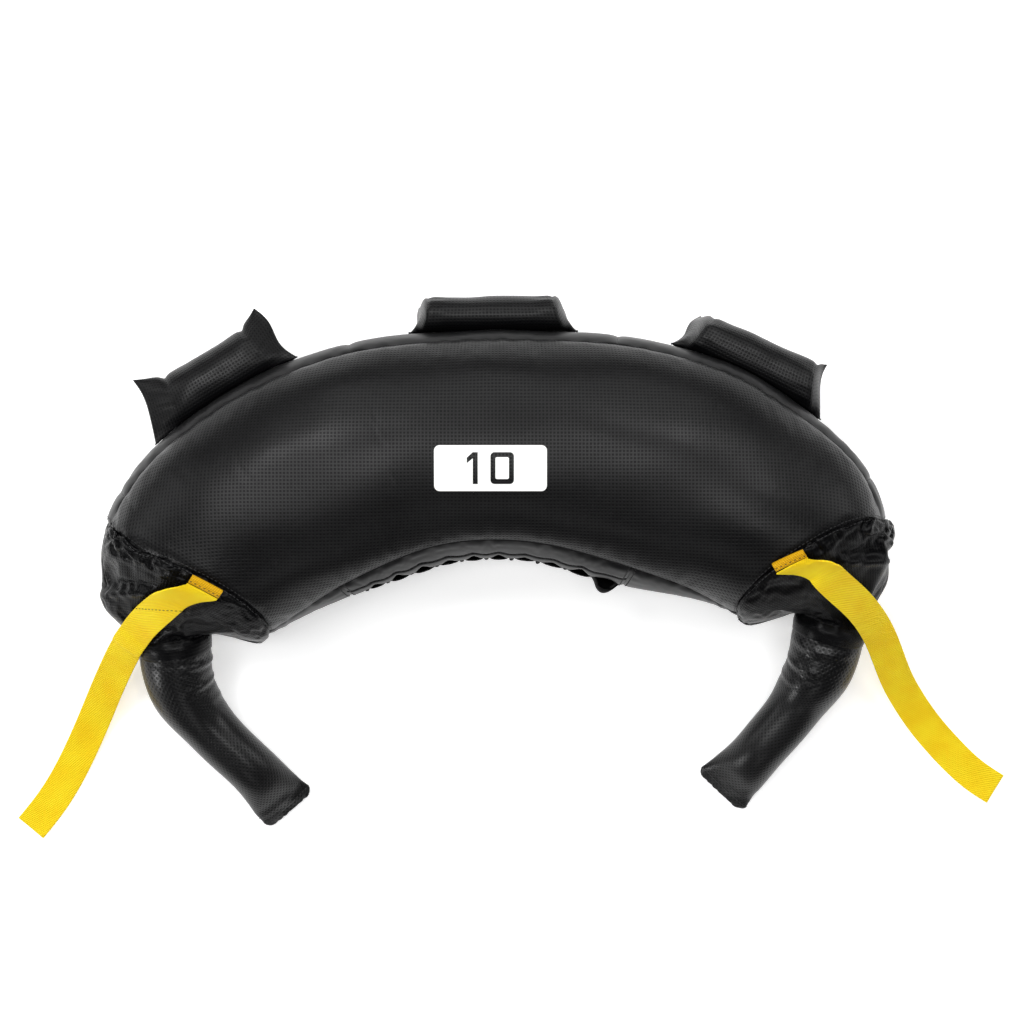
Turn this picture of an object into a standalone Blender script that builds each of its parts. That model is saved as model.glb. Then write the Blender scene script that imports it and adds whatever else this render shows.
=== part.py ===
"""Bulgarian bag: a stuffed crescent of vinyl with two arm handles, three outer grips and two straps.

Metres, +Z up. The bag lies on its back on the plane z = 0, with its outer curve towards +Y.
The origin is on the flat of the underside, in the middle of the crescent.
"""
from math import asin, cos, pi, radians, sin

import bmesh
import bpy
import numpy as np

# Crescent, seen from above: each rib runs from the outer crown to the inner crown
OUTER_CROWN = [
    (-0.296, -0.056), (-0.272, -0.014), (-0.232, 0.022), (-0.172, 0.058), (-0.092, 0.081), (0.000, 0.086),
    (0.095, 0.0825), (0.175, 0.060), (0.234, 0.024), (0.272, -0.011), (0.291, -0.056),
]
INNER_CROWN = [
    (-0.177, -0.142), (-0.146, -0.127), (-0.117, -0.115), (-0.084, -0.102), (-0.042, -0.0885), (0.000, -0.0845),
    (0.045, -0.091), (0.092, -0.104), (0.130, -0.111), (0.160, -0.119), (0.181, -0.129),
]
MIDDLE_HEIGHT = 0.150        # thickness of the stuffed crescent in the middle
END_HEIGHT = 0.132           # and at its two end seams
CROWN_LEVEL = 0.48           # height of both crowns, as a share of the thickness
SQUARENESS = 2.2             # superellipse power of the section, 2 is an ellipse
UNDERSIDE_SINK = 0.005       # how far the round underside is pressed flat on the floor

# Sheets and clearances
SHEET = 0.0012               # vinyl thickness
SHARP_EDGE = radians(50)     # edges sharper than this keep their crease
SACK_WALL = 0.0010           # woven sack thickness
SEAM_GAP = 0.0006            # between two panels that meet at a seam
LAYER_GAP = 0.0004           # between one layer and the next
TOUCH_GAP = 0.0005           # between a sewn piece and the vinyl that it sits on

# Seams
OUTER_GUSSET_ANGLE = radians(24)          # half of the outer strip, round the outer crown
INNER_GUSSET_ANGLE = radians(36)          # half of the inner strip in the middle of the bag
INNER_GUSSET_END_ANGLE = radians(6)       # and at the end seams
INNER_GUSSET_FADE = 2.2                   # power of its narrowing, so that most of it is near the ends
OUTER_SEAMS = [0.5, 3.75, 5.93, 9.3]      # cross seams of the outer strip, in ribs
INNER_SEAMS = [2.2, 7.0]                  # cross seams of the inner strip, in ribs
LEFT_SEAM_BOW = (0.0155, radians(122), radians(58))     # end seam drawn over the front: how far,
RIGHT_SEAM_BOW = (0.0225, radians(100), radians(82))     # round which angle, and half its spread
SEAM_BOW_FADE = 2.0                       # ribs over which the bow dies away
PANEL_SPANS = 6                           # faces across the front and the back panel
RIB_STEP = 0.5                            # longest face along the crescent, in ribs

# Laced closure on the inner crown
TIE_COUNT = 10
TIE_RANGE = (2.7, 6.64)      # ribs of the first and the last tie
SLIT_HALF = 0.0045           # from the crown line to a lip's edge
HOLE_EDGE = 0.0030           # vinyl left between a lip's edge and its holes
HOLE_SIZE = 0.0060
LACE_RADIUS = 0.0015
LACE_LOOP = 0.0095           # how far the loop at the right end stands out
LACE_LOOP_SHIFT = 0.12       # how far it leans to the right, in ribs
LACE_RIM = 0.96              # the lace turns over the lip at this share of its hole's angle
LACE_CLEAR = 0.0005          # over the slit's edges and behind the lips
LACE_SPOTS = 10              # points of the cord per tie
SACK_INSET = 0.045           # from an end seam to the sack, and from the sack to the ballast, in ribs
RECESS = 0.0070              # how far the filling is drawn in behind the closure

# End caps: the nozzle is the round mouth that holds an arm's root.
# Its centre and the routes below are seen from above, with heights as shares of END_HEIGHT.
LEFT_NOZZLE = (-0.247, -0.150, 0.3636)
RIGHT_NOZZLE = (0.250, -0.139, 0.3636)
CAP_REACH = 0.052            # strength of the cap's start, square to the end seam
CAP_SWELL = 0.026            # and away from the bag's axis
NOZZLE_REACH = 0.030         # strength of the cap's end, along the root ball
NOZZLE_ANGLE = radians(110)  # from the arm's axis to the mouth's edge
NOZZLE_GAP = 0.0009          # between the root ball and the cap, so that their flat faces clear
CAP_SIDES = 18
CAP_SPANS = 7                # faces from the end seam to the mouth
WADDING_SPANS = 3            # of these, how many the wadding fills
WADDING_START = 0.1          # part of the first one that it leaves free

# Arms
ARM_ROOT_RADIUS = 0.0265     # ball at the root, in the nozzle
ARM_ROOT_ANGLE = radians(142)
ARM_NECK_ANGLE = radians(75)
ARM_SIDES = 14
ARM_ROOT_RINGS = 5           # from the back of the ball to the neck
LEFT_ARM_ROUTE = [
    (-0.2430, -0.1810, 0.2992), (-0.2230, -0.2130, 0.2235),
    (-0.1955, -0.2420, 0.1780), (-0.1650, -0.2765, 0.0394),
]
RIGHT_ARM_ROUTE = [
    (0.2425, -0.1690, 0.3106), (0.2290, -0.1930, 0.2311),
    (0.2050, -0.2260, 0.1780), (0.1725, -0.2625, 0.0394),
]
ARM_SHAPE = [                # share of the length, half width and half height in root radii
    (0.16, 0.989, 0.989), (0.30, 0.913, 0.913), (0.46, 0.785, 0.785), (0.62, 0.747, 0.747),
    (0.74, 0.747, 0.717), (0.84, 0.770, 0.566), (0.92, 0.808, 0.332), (1.00, 0.860, 0.113),
]
ARM_TIP_SOLID = 0.006        # sewn-together length at the tip

# Grips on the outer crown: feet in ribs, half depth of the roll in end widths, tilt of each flat end
GRIPS = {
    "left": (1.40, 3.27, 0.633, radians(6), radians(8)),
    "centre": (4.27, 5.60, 0.506, radians(56), radians(58)),
    "right": (6.50, 8.25, 0.600, radians(45), radians(20)),
}
GRIP_END_HALF = 0.0245       # half width of a flattened end, called an end width above
GRIP_END_THICK = 0.0032
GRIP_HALF_HEIGHT = 0.0195    # of the roll in the middle
GRIP_STANDOFF = 0.0020       # between the roll and the crown
GRIP_LEAN = 0.009            # how far the tips lean towards each other
GRIP_SLIT = radians(9)       # half of the opening on the side of the crown
GRIP_SWELL = [(0.0, 0.0), (0.05, 0.26), (0.12, 0.62), (0.22, 0.92), (0.36, 1.0), (0.5, 1.0)]
GRIP_SIDES = 13
GRIP_SAG = 0.6               # how far the roll's middle hangs, as a share of its ends' mean tilt

# Straps
STRAP_WIDTH = 0.025
STRAP_THICK = 0.0015
TAB_LENGTH = 0.0075
TAB_THICK = 0.0030
TAB_START = 0.0005           # from the end seam to the tab
STRAP_GAP = 0.0009           # from the tab to the strap
STRAP_START = 0.002          # straight length in line with the tab
STRAP_SPANS = 28
STRAP_TURN = 7               # rows over which the strap turns from the tab's direction to its own
STRAP_FLATTEN = 3            # rows over which it loses the curve that the tab has across
LEFT_TAB_SHARE = 0.62        # place of the tab along the end seam, from outer to inner crown
RIGHT_TAB_SHARE = 0.61
LEFT_STRAP_ROUTE = [
    (-0.2289, -0.1100, 1.0045), (-0.2415, -0.1146, 0.9371), (-0.2543, -0.1236, 0.8121),
    (-0.2671, -0.1343, 0.6606), (-0.2818, -0.1515, 0.4545), (-0.2939, -0.1708, 0.2879),
    (-0.3044, -0.1902, 0.1591), (-0.3159, -0.2143, 0.0606), (-0.3295, -0.2426, 0.0167),
    (-0.3456, -0.2706, 0.0098), (-0.3642, -0.2947, 0.0098),
]
RIGHT_STRAP_ROUTE = [
    (0.2310, -0.0895, 1.0341), (0.2430, -0.0975, 0.9583), (0.2560, -0.1090, 0.8258),
    (0.2672, -0.1195, 0.7121), (0.2776, -0.1306, 0.5871), (0.2889, -0.1474, 0.4242),
    (0.3005, -0.1713, 0.2576), (0.3116, -0.1904, 0.1439), (0.3290, -0.2143, 0.0530),
    (0.3503, -0.2380, 0.0167), (0.3675, -0.2536, 0.0098), (0.3838, -0.2644, 0.0098),
]

UP = np.array((0.0, 0.0, 1.0))


# Small helpers for points and curves

def unit(vector):
    return np.asarray(vector, float) / np.linalg.norm(vector)


def curve_through(points):
    """Return the smooth curve through the points, as a function of their count from zero."""
    knots = np.array(points, float)
    count = len(knots)
    system = np.eye(count)
    bend = np.zeros_like(knots)
    for i in range(1, count - 1):
        system[i, i - 1:i + 2] = (1, 4, 1)
        bend[i] = 6 * (knots[i + 1] - 2 * knots[i] + knots[i - 1])
    bend = np.linalg.solve(system, bend)

    def at(t):
        i = int(min(max(t, 0), count - 1.000001))
        f = t - i
        g = 1 - f
        pull = (g ** 3 - g) * bend[i] + (f ** 3 - f) * bend[i + 1]
        return g * knots[i] + f * knots[i + 1] + pull / 6
    return at


def even_points(points, count):
    """Read points at equal distances along the smooth curve through a few of them."""
    at = curve_through(points)
    fine = np.array([at(t) for t in np.linspace(0, len(points) - 1, 40 * len(points))])
    travel = np.concatenate(([0], np.cumsum(np.linalg.norm(np.diff(fine, axis=0), axis=1))))
    wanted = np.linspace(0, travel[-1], count) if np.isscalar(count) else np.array(count) * travel[-1]
    return np.stack([np.interp(wanted, travel, fine[:, k]) for k in range(3)], axis=1)


def placed(spots):
    """Points from their place seen from above and their height as a share of END_HEIGHT."""
    return np.array(spots) * (1, 1, END_HEIGHT)


def power(value):
    """Cosine or sine of the section's angle, squared off to the superellipse."""
    return np.sign(value) * abs(value) ** (2 / SQUARENESS)


# The stuffed crescent's surface, which every panel, layer and fitting is placed on

outer_crown = curve_through(OUTER_CROWN)
inner_crown = curve_through(INNER_CROWN)
LAST_RIB = len(OUTER_CROWN) - 1


def body_height(u):
    middle = LAST_RIB / 2
    return MIDDLE_HEIGHT - (MIDDLE_HEIGHT - END_HEIGHT) * ((u - middle) / middle) ** 2


def crown_height(u):
    return CROWN_LEVEL * body_height(u)


def straight_surface(u, angle, depth=0.0):
    """Point of the crescent on a straight rib."""
    outer = outer_crown(u)
    inner = inner_crown(u)
    centre = (outer + inner) / 2
    half = np.linalg.norm(outer - inner) / 2
    level = crown_height(u)
    rise = body_height(u) - level if sin(angle) > 0 else level + UNDERSIDE_SINK
    across = centre + unit(outer - inner) * (half - depth) * power(cos(angle))
    return np.array((across[0], across[1], max(level + (rise - depth) * power(sin(angle)), depth)))


def seam_bow(u, angle):
    """How many ribs a line across the front is drawn towards the middle, near an end seam."""
    end, inward, bow = (0, 1, LEFT_SEAM_BOW) if u < LAST_RIB / 2 else (LAST_RIB, -1, RIGHT_SEAM_BOW)
    amount, peak, spread = bow
    turn = (angle - peak) / spread
    fade = 1 - abs(u - end) / SEAM_BOW_FADE
    if abs(turn) >= 1 or fade <= 0:
        return 0.0
    rib = np.linalg.norm(straight_surface(end + inward, angle) - straight_surface(end, angle))
    return inward * fade * amount / rib * cos(turn * pi / 2)


def surface(u, angle, depth=0.0):
    """Point of the crescent: angle 0 is the outer crown, 90 degrees the front, 180 the inner crown."""
    return straight_surface(u + seam_bow(u, angle), angle, depth)


def outward(u):
    """Horizontal direction out of the end of the crescent, square to its end rib."""
    rib = unit(outer_crown(u) - inner_crown(u))
    side = np.array((-rib[1], rib[0], 0.0))
    return side if side[0] * (u - LAST_RIB / 2) > 0 else -side


def inner_gusset_angle(u):
    share = abs(u - LAST_RIB / 2) / (LAST_RIB / 2)
    gain = INNER_GUSSET_ANGLE - INNER_GUSSET_END_ANGLE
    return INNER_GUSSET_END_ANGLE + gain * (1 - share ** INNER_GUSSET_FADE)


def crown_angle(distance):
    """Angle from the crown line to a point this far from it, in the middle of the bag."""
    rise = MIDDLE_HEIGHT * (1 - CROWN_LEVEL)
    return asin((distance / rise) ** (SQUARENESS / 2))


def front_angles(u):
    return np.linspace(OUTER_GUSSET_ANGLE, pi - inner_gusset_angle(u), PANEL_SPANS + 1)


def back_angles(u):
    return np.linspace(pi + inner_gusset_angle(u), 2 * pi - OUTER_GUSSET_ANGLE, PANEL_SPANS + 1)


def inner_angles(u):
    return pi + inner_gusset_angle(u) * np.array((-1, -0.6, 0, 0.6, 1))


def outer_angles(u):
    return OUTER_GUSSET_ANGLE * np.array((-1.0, 0.0, 1.0))


def ring_angles(u):
    """All angles once round the section, so that every layer has its edges in the same places."""
    around = [outer_angles(u)[:2], front_angles(u), inner_angles(u)[1:-1], back_angles(u)[:-1]]
    return np.concatenate(around)


def ribs_between(start, end):
    """Rib values from start to end, with every seam of the outer strip and no step over RIB_STEP."""
    stops = [start] + [s for s in sorted(OUTER_SEAMS + INNER_SEAMS) if start < s < end] + [end]
    values = [start]
    for a, b in zip(stops, stops[1:]):
        steps = max(1, int(np.ceil((b - a) / RIB_STEP - 1e-6)))
        values += list(np.linspace(a, b, steps + 1)[1:])
    return values


# Meshes

def clear_scene():
    for old in list(bpy.data.objects):
        bpy.data.objects.remove(old, do_unlink=True)


def make_material(name, colour, roughness, metallic=0.0):
    material = bpy.data.materials.new(name)
    material.use_nodes = True
    shader = material.node_tree.nodes["Principled BSDF"]
    channels = [int(colour[k:k + 2], 16) / 255 for k in (0, 2, 4)]
    shader.inputs["Base Color"].default_value = [c ** 2.2 for c in channels] + [1]
    shader.inputs["Roughness"].default_value = roughness
    shader.inputs["Metallic"].default_value = metallic
    return material


def add_solid(name, points, faces, material, origin=(0, 0, 0)):
    """Make one closed object, faces out, with its origin where it turns."""
    mesh = bpy.data.meshes.new(name)
    mesh.from_pydata([tuple(np.asarray(p) - np.asarray(origin)) for p in points], [], faces)
    shape = bmesh.new()
    shape.from_mesh(mesh)
    bmesh.ops.recalc_face_normals(shape, faces=shape.faces)
    if shape.calc_volume(signed=True) < 0:
        bmesh.ops.reverse_faces(shape, faces=shape.faces)
    shape.to_mesh(mesh)
    shape.free()
    mesh.shade_smooth()
    mesh.set_sharp_from_angle(angle=SHARP_EDGE)
    mesh.materials.append(material)
    solid = bpy.data.objects.new(name, mesh)
    solid.location = origin
    bpy.context.collection.objects.link(solid)
    return solid


def halves(a, b, c, d):
    """Split a four-sided face the same way in every layer, so that two layers never cross."""
    return [(a, b, c), (a, c, d)]


def fan(ring, first, centre):
    """Faces from a ring of points, counted from first, to one centre point."""
    count = len(ring)
    return [(first + j, first + (j + 1) % count, centre) for j in range(count)]


def add_loft(name, rings, material, origin=(0, 0, 0)):
    """Solid through closed rings, with a fan of faces at each end."""
    rows, cols = len(rings), len(rings[0])
    points = [p for ring in rings for p in ring]
    faces = fan(rings[0], 0, len(points)) + fan(rings[-1], (rows - 1) * cols, len(points) + 1)
    points += [np.mean(rings[0], axis=0), np.mean(rings[-1], axis=0)]
    for i in range(rows - 1):
        for j in range(cols):
            k = (j + 1) % cols
            faces += halves(i * cols + j, i * cols + k, (i + 1) * cols + k, (i + 1) * cols + j)
    return add_solid(name, points, faces, material, origin)


def add_shell(name, outer, inner, material, ring=False, floor=False, holes=(), origin=(0, 0, 0)):
    """Sheet between two grids of points: a strip, a tube (ring), or a pouch (ring and floor).

    A pouch is closed at its first row. A hole is a cell of the grid, row and column, left out.
    """
    rows, cols = len(outer), len(outer[0])
    points = [p for row in outer for p in row] + [p for row in inner for p in row]

    def corner(i, j, layer):
        return layer * rows * cols + i * cols + j % cols

    def wall(a, b):
        return (corner(*a, 0), corner(*b, 0), corner(*b, 1), corner(*a, 1))

    faces = []
    spans = cols if ring else cols - 1
    for i in range(rows - 1):
        for j in range(spans):
            loop = [(i, j), (i, j + 1), (i + 1, j + 1), (i + 1, j)]
            if (i, j) in holes:
                faces += [wall(loop[k], loop[(k + 1) % 4]) for k in range(4)]
            else:
                for layer in (0, 1):
                    faces += halves(*(corner(*c, layer) for c in loop))
    ends = [rows - 1] if floor else [0, rows - 1]
    for i in ends:
        faces += [wall((i, j), (i, j + 1)) for j in range(spans)]
    if floor:
        for layer, grid in ((0, outer), (1, inner)):
            faces += fan(grid[0], corner(0, 0, layer), len(points))
            points.append(np.mean(grid[0], axis=0))
    if not ring:
        for j in (0, cols - 1):
            faces += [wall((i, j), (i + 1, j)) for i in range(rows - 1)]
    return add_solid(name, points, faces, material, origin)


# Crescent panels

def trimmed(angles, u):
    """Draw a strip's two long edges back from its seams by half a seam gap."""
    edge = SEAM_GAP / 2 / (body_height(u) / 2)
    angles = np.array(angles)
    angles[0] += edge
    angles[-1] -= edge
    return angles


def add_panel(name, angles_at, start, end, material, cut_start=0.0, cut_end=0.0):
    """Vinyl panel on the crescent; a cut draws an end back from its cross seam, in ribs."""
    values = ribs_between(start, end)
    values[0] += cut_start
    values[-1] -= cut_end
    outer = [[surface(u, a) for a in trimmed(angles_at(u), u)] for u in values]
    inner = [[surface(u, a, SHEET) for a in trimmed(angles_at(u), u)] for u in values]
    return add_shell(name, outer, inner, material)


def rib_share(crown, u, length):
    """How many ribs a length along a crown is, near u."""
    step = 0.05
    low, high = max(u - step, 0), min(u + step, LAST_RIB)
    return length * (high - low) / np.linalg.norm(crown(high) - crown(low))


def add_strips(names, seams, crown, angles_at, material):
    """The pieces of one strip, from seam to seam."""
    stops = [0.0] + seams + [float(LAST_RIB)]
    for name, start, end in zip(names, stops, stops[1:]):
        if name is None:
            continue
        cut_start = rib_share(crown, start, SEAM_GAP / 2) if start > 0 else 0.0
        cut_end = rib_share(crown, end, SEAM_GAP / 2) if end < LAST_RIB else 0.0
        add_panel(name, angles_at, start, end, material, cut_start, cut_end)


# Laced closure

def tie_ribs():
    return np.linspace(*TIE_RANGE, TIE_COUNT)


def add_lip(name, side, material):
    """Half of the inner strip, from the panel seam to the slit, with a row of holes along its edge."""
    half_hole = [rib_share(inner_crown, u, HOLE_SIZE / 2) for u in tie_ribs()]
    values = [INNER_SEAMS[0] + rib_share(inner_crown, INNER_SEAMS[0], SEAM_GAP / 2)]
    for u, half in zip(tie_ribs(), half_hole):
        values += [u - half, u + half]
    values.append(INNER_SEAMS[1] - rib_share(inner_crown, INNER_SEAMS[1], SEAM_GAP / 2))
    near = [SLIT_HALF, SLIT_HALF + HOLE_EDGE, SLIT_HALF + HOLE_EDGE + HOLE_SIZE]

    def angles(u):
        seam = inner_gusset_angle(u) - SEAM_GAP / 2 / (body_height(u) / 2)
        spread = [crown_angle(d) for d in near]
        return pi + side * np.array(spread + [(spread[-1] + seam) / 2, seam])

    outer = [[surface(u, a) for a in angles(u)] for u in values]
    inner = [[surface(u, a, SHEET) for a in angles(u)] for u in values]
    holes = [(2 * k + 1, 1) for k in range(TIE_COUNT)]
    return add_shell(name, outer, inner, material, holes=holes)


def lace_points():
    """Up through each front hole, over the slit, down the back hole and on behind the lips."""
    hole = crown_angle(SLIT_HALF + HOLE_EDGE + HOLE_SIZE / 2)
    inside = SHEET + LAYER_GAP + LACE_RADIUS
    outside = -LAYER_GAP - LACE_RADIUS
    ties = tie_ribs()
    points = []
    for k, u in enumerate(ties):
        points.append(surface(u, pi - hole, inside))
        points.append(surface(u, pi - hole * LACE_RIM, outside))
        if k == TIE_COUNT - 1:
            points += lace_loop(u, hole, outside)
        else:
            points.append(surface(u, pi, outside + LACE_CLEAR))
        points.append(surface(u, pi + hole * LACE_RIM, outside))
        points.append(surface(u, pi + hole, inside))
        if k < TIE_COUNT - 1:
            points.append(surface((u + ties[k + 1]) / 2, pi, inside + LACE_CLEAR))
    return points


def lace_loop(u, hole, outside):
    """Three points of the loop that stands out at the last tie."""
    shoulder = outside - LACE_LOOP * 0.6
    lean = LACE_LOOP_SHIFT / 6
    top = surface(u + LACE_LOOP_SHIFT, pi, outside - LACE_LOOP)
    return [surface(u + lean, pi - hole / 2, shoulder), top, surface(u + lean, pi + hole / 2, shoulder)]


def add_lace(name, points, material):
    """Round cord as a bevelled curve with closed ends."""
    route = even_points(points, LACE_SPOTS * TIE_COUNT)
    curve = bpy.data.curves.new(name, "CURVE")
    curve.dimensions = "3D"
    curve.bevel_depth = LACE_RADIUS
    curve.bevel_resolution = 1
    curve.use_fill_caps = True
    spline = curve.splines.new("POLY")
    spline.points.add(len(route) - 1)
    for spot, place in zip(spline.points, route):
        spot.co = (*place, 1)
    curve.materials.append(material)
    cord = bpy.data.objects.new(name, curve)
    bpy.context.collection.objects.link(cord)
    return cord


# Filling of the crescent

def drawn_in(u, index, depth):
    """Depth of a filling layer: deeper behind the laced closure, where the lace runs."""
    first_inner = 2 + PANEL_SPANS + 1
    behind = first_inner <= index < first_inner + 3
    if behind and INNER_SEAMS[0] - 0.01 <= u <= INNER_SEAMS[1] + 0.01:
        return depth + RECESS
    return depth


def filling_ring(u, depth):
    return [surface(u, a, drawn_in(u, k, depth)) for k, a in enumerate(ring_angles(u))]


def add_filling(sack_material, ballast_material):
    """Woven sack, sewn shut at the left and open at the right, and the ballast that it holds."""
    sack_depth = SHEET + LAYER_GAP
    ballast_depth = sack_depth + SACK_WALL + LAYER_GAP
    middle = ribs_between(0, LAST_RIB)[1:-1]
    outer = [filling_ring(u, sack_depth) for u in [SACK_INSET] + middle + [LAST_RIB - SACK_INSET]]
    inside = [2 * SACK_INSET] + middle + [LAST_RIB - SACK_INSET]
    inner = [filling_ring(u, sack_depth + SACK_WALL) for u in inside]
    add_shell("inner_sack", outer, inner, sack_material, ring=True, floor=True)
    held = [3 * SACK_INSET] + middle + [LAST_RIB - 2 * SACK_INSET]
    add_loft("ballast_core", [filling_ring(u, ballast_depth) for u in held], ballast_material)


# End caps

def ball_frame(axis, rib):
    """Axes round an arm's root: along the arm, towards the outer crown, and up."""
    along = unit(axis)
    side = unit(rib - along * np.dot(rib, along))
    up = np.cross(along, side)
    return along, side, up if up[2] > 0 else -up


def ball_point(centre, frame, radius, polar, turn):
    along, side, up = frame
    rim = cos(turn) * side + sin(turn) * up
    return centre + radius * (cos(polar) * along + sin(polar) * rim)


def cap_point(u, nozzle, axis, t, a):
    """Point of an end cap on the cubic from the end seam (t = 0) to the nozzle's mouth (t = 1)."""
    rib = np.append(unit(outer_crown(u) - inner_crown(u)), 0.0)
    out = outward(u)
    frame = ball_frame(axis, rib)
    radius = ARM_ROOT_RADIUS + NOZZLE_GAP + SHEET
    start = surface(u, a) + out * SEAM_GAP
    leave = out * CAP_REACH + (rib * cos(a) + UP * max(sin(a), 0)) * CAP_SWELL
    end = ball_point(nozzle, frame, radius, NOZZLE_ANGLE, a)
    arrive = ball_point(np.zeros(3), frame, NOZZLE_REACH, NOZZLE_ANGLE - pi / 2, a)
    point = ((2 * t ** 3 - 3 * t ** 2 + 1) * start + (t ** 3 - 2 * t ** 2 + t) * leave
             + (3 * t ** 2 - 2 * t ** 3) * end + (t ** 3 - t ** 2) * arrive)
    point[2] = max(point[2], 0.0)
    return point


def cap_rings(u, nozzle, axis):
    shares = np.linspace(0, 1, CAP_SPANS + 1)
    turns = [2 * pi * k / CAP_SIDES for k in range(CAP_SIDES)]
    return np.array([[cap_point(u, nozzle, axis, t, a) for a in turns] for t in shares])


def cap_layer(rings, depth, out, nozzle):
    """The cap's rings, this deep under the surface along its own normals."""
    across = np.roll(rings, -1, axis=1) - np.roll(rings, 1, axis=1)
    normal = np.cross(across, np.gradient(rings, axis=0))
    normal[0] -= np.outer(normal[0] @ out, out)
    normal[-1] = rings[-1] - nozzle
    normal /= np.linalg.norm(normal, axis=2, keepdims=True)
    centre = rings.mean(axis=1, keepdims=True)
    facing = np.sign(((rings - centre) * normal).sum(axis=2).mean(axis=1))
    return rings - normal * facing[:, None, None] * depth


def add_end(side, u, nozzle, axis, vinyl, wadding):
    """One end cap of vinyl and the wadding in it."""
    out = outward(u)
    outer = cap_rings(u, nozzle, axis)
    add_shell(side + "_end_cap", outer, cap_layer(outer, SHEET, out, nozzle), vinyl, ring=True)
    rings = cap_layer(outer, SHEET + LAYER_GAP, out, nozzle)[:WADDING_SPANS + 1]
    rings[0] += (rings[1] - rings[0]) * WADDING_START
    add_loft(side + "_end_wadding", rings, wadding)


# Arms

def arm_rings(nozzle, route, inset, tip_cut):
    """Rings from the root ball through the arm to its flat tip; inset is the depth under the vinyl."""
    start_axis = unit(route[0] - nozzle)
    rings = []
    radius = ARM_ROOT_RADIUS - inset
    side = unit(np.cross(start_axis, UP))
    up = np.cross(side, start_axis)
    turns = [2 * pi * k / ARM_SIDES for k in range(ARM_SIDES)]
    for polar in np.linspace(ARM_ROOT_ANGLE, ARM_NECK_ANGLE, ARM_ROOT_RINGS):
        rings.append([nozzle + radius * (cos(polar) * start_axis
                      + sin(polar) * (cos(a) * side + sin(a) * up)) for a in turns])
    step = 0.01
    shares = [s for s, _, _ in ARM_SHAPE]
    centres = even_points([nozzle, *route], shares)
    ahead = even_points([nozzle, *route], [min(s + step, 1) for s in shares])
    behind = even_points([nozzle, *route], [s - step for s in shares])
    for (s, wide, high), centre, a, b in zip(ARM_SHAPE, centres, behind, ahead):
        along = unit(b - a)
        side = unit(np.cross(along, UP))
        up = np.cross(side, along)
        if s == 1:
            centre = centre - along * tip_cut
        wide = (wide * ARM_ROOT_RADIUS - inset) * side
        high = (high * ARM_ROOT_RADIUS - inset) * up
        rings.append([centre + wide * cos(t) + high * sin(t) for t in turns])
    return rings


def add_arm(side, nozzle, route, vinyl, stuffing):
    """Vinyl sleeve, open at the root and sewn flat at the tip, and the stuffing in it."""
    sleeve_outer = arm_rings(nozzle, route, 0.0, 0.0)
    sleeve_inner = arm_rings(nozzle, route, SHEET, ARM_TIP_SOLID)
    add_shell(side + "_arm_sleeve", sleeve_outer[::-1], sleeve_inner[::-1], vinyl,
              ring=True, floor=True, origin=nozzle)
    inset = SHEET + LAYER_GAP
    rings = arm_rings(nozzle, route, inset, ARM_TIP_SOLID + LAYER_GAP)
    add_loft(side + "_arm_stuffing", rings[::-1], stuffing, origin=nozzle)


# Grips

def grip_feet(name):
    start, end = GRIPS[name][:2]
    a, b = surface(start, 0), surface(end, 0)
    return a, b


def grip_section(name, share, inset, turns):
    """Closed section of a grip: flat and tilted at its ends, an upright oval in the middle."""
    start, end, depth_share, tilt_start, tilt_end = GRIPS[name]
    half_depth = depth_share * GRIP_END_HALF
    foot_a, foot_b = grip_feet(name)
    chord = unit(foot_b - foot_a)
    out = np.cross(UP, chord)
    out = unit(out if np.dot(out, foot_a + foot_b) > 0 else -out)
    edge = min(share, 1 - share)
    full = np.interp(edge, *zip(*GRIP_SWELL))
    tilt = (tilt_start if share < 0.5 else tilt_end) * (1 - full ** 2)
    reach = GRIP_END_HALF + (half_depth - GRIP_END_HALF) * full
    thick = GRIP_END_THICK / 2 + (GRIP_HALF_HEIGHT - GRIP_END_THICK / 2) * full
    gap = TOUCH_GAP + (GRIP_STANDOFF - TOUCH_GAP) * full
    wide = out * cos(tilt) - UP * sin(tilt)
    flat = out * sin(tilt) + UP * cos(tilt)
    lean = GRIP_LEAN * (1 - 2 * share)
    base = surface(start + (end - start) * share, 0)
    drop = UP * half_depth * sin((tilt_start + tilt_end) / 2) * GRIP_SAG * full
    centre = base + out * gap + wide * reach - drop
    ring = []
    for turn in turns:
        rise = reach + (reach - inset) * cos(turn)
        shift = chord * lean * rise / (2 * GRIP_END_HALF)
        across = wide * (reach - inset) * cos(turn) + flat * (thick - inset) * sin(turn)
        ring.append(centre + across + shift)
    return ring


def grip_shares():
    half = [s for s, _ in GRIP_SWELL]
    return half + [1 - s for s in half[-2::-1]]


def add_grip(name, vinyl, foam):
    """Vinyl cover with its slit on the crown's side, and the foam roll in it."""
    foot_a, foot_b = grip_feet(name)
    origin = (foot_a + foot_b) / 2
    turns = np.linspace(-pi + GRIP_SLIT, pi - GRIP_SLIT, GRIP_SIDES + 1)
    outer = [grip_section(name, s, 0.0, turns) for s in grip_shares()]
    inner = [grip_section(name, s, SHEET, turns) for s in grip_shares()]
    add_shell("grip_" + name + "_cover", outer, inner, vinyl, origin=origin)
    rings = [grip_section(name, s, SHEET + LAYER_GAP, turns) for s in grip_shares()[1:-1]]
    add_loft("grip_" + name + "_roll", rings, foam, origin=origin)


# Straps

def tab_angle(share):
    """Angle on the section of a point this share of the way from the outer to the inner crown."""
    across = 1 - 2 * share
    return pi / 2 - np.sign(across) * asin(abs(across) ** (SQUARENESS / 2))


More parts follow.
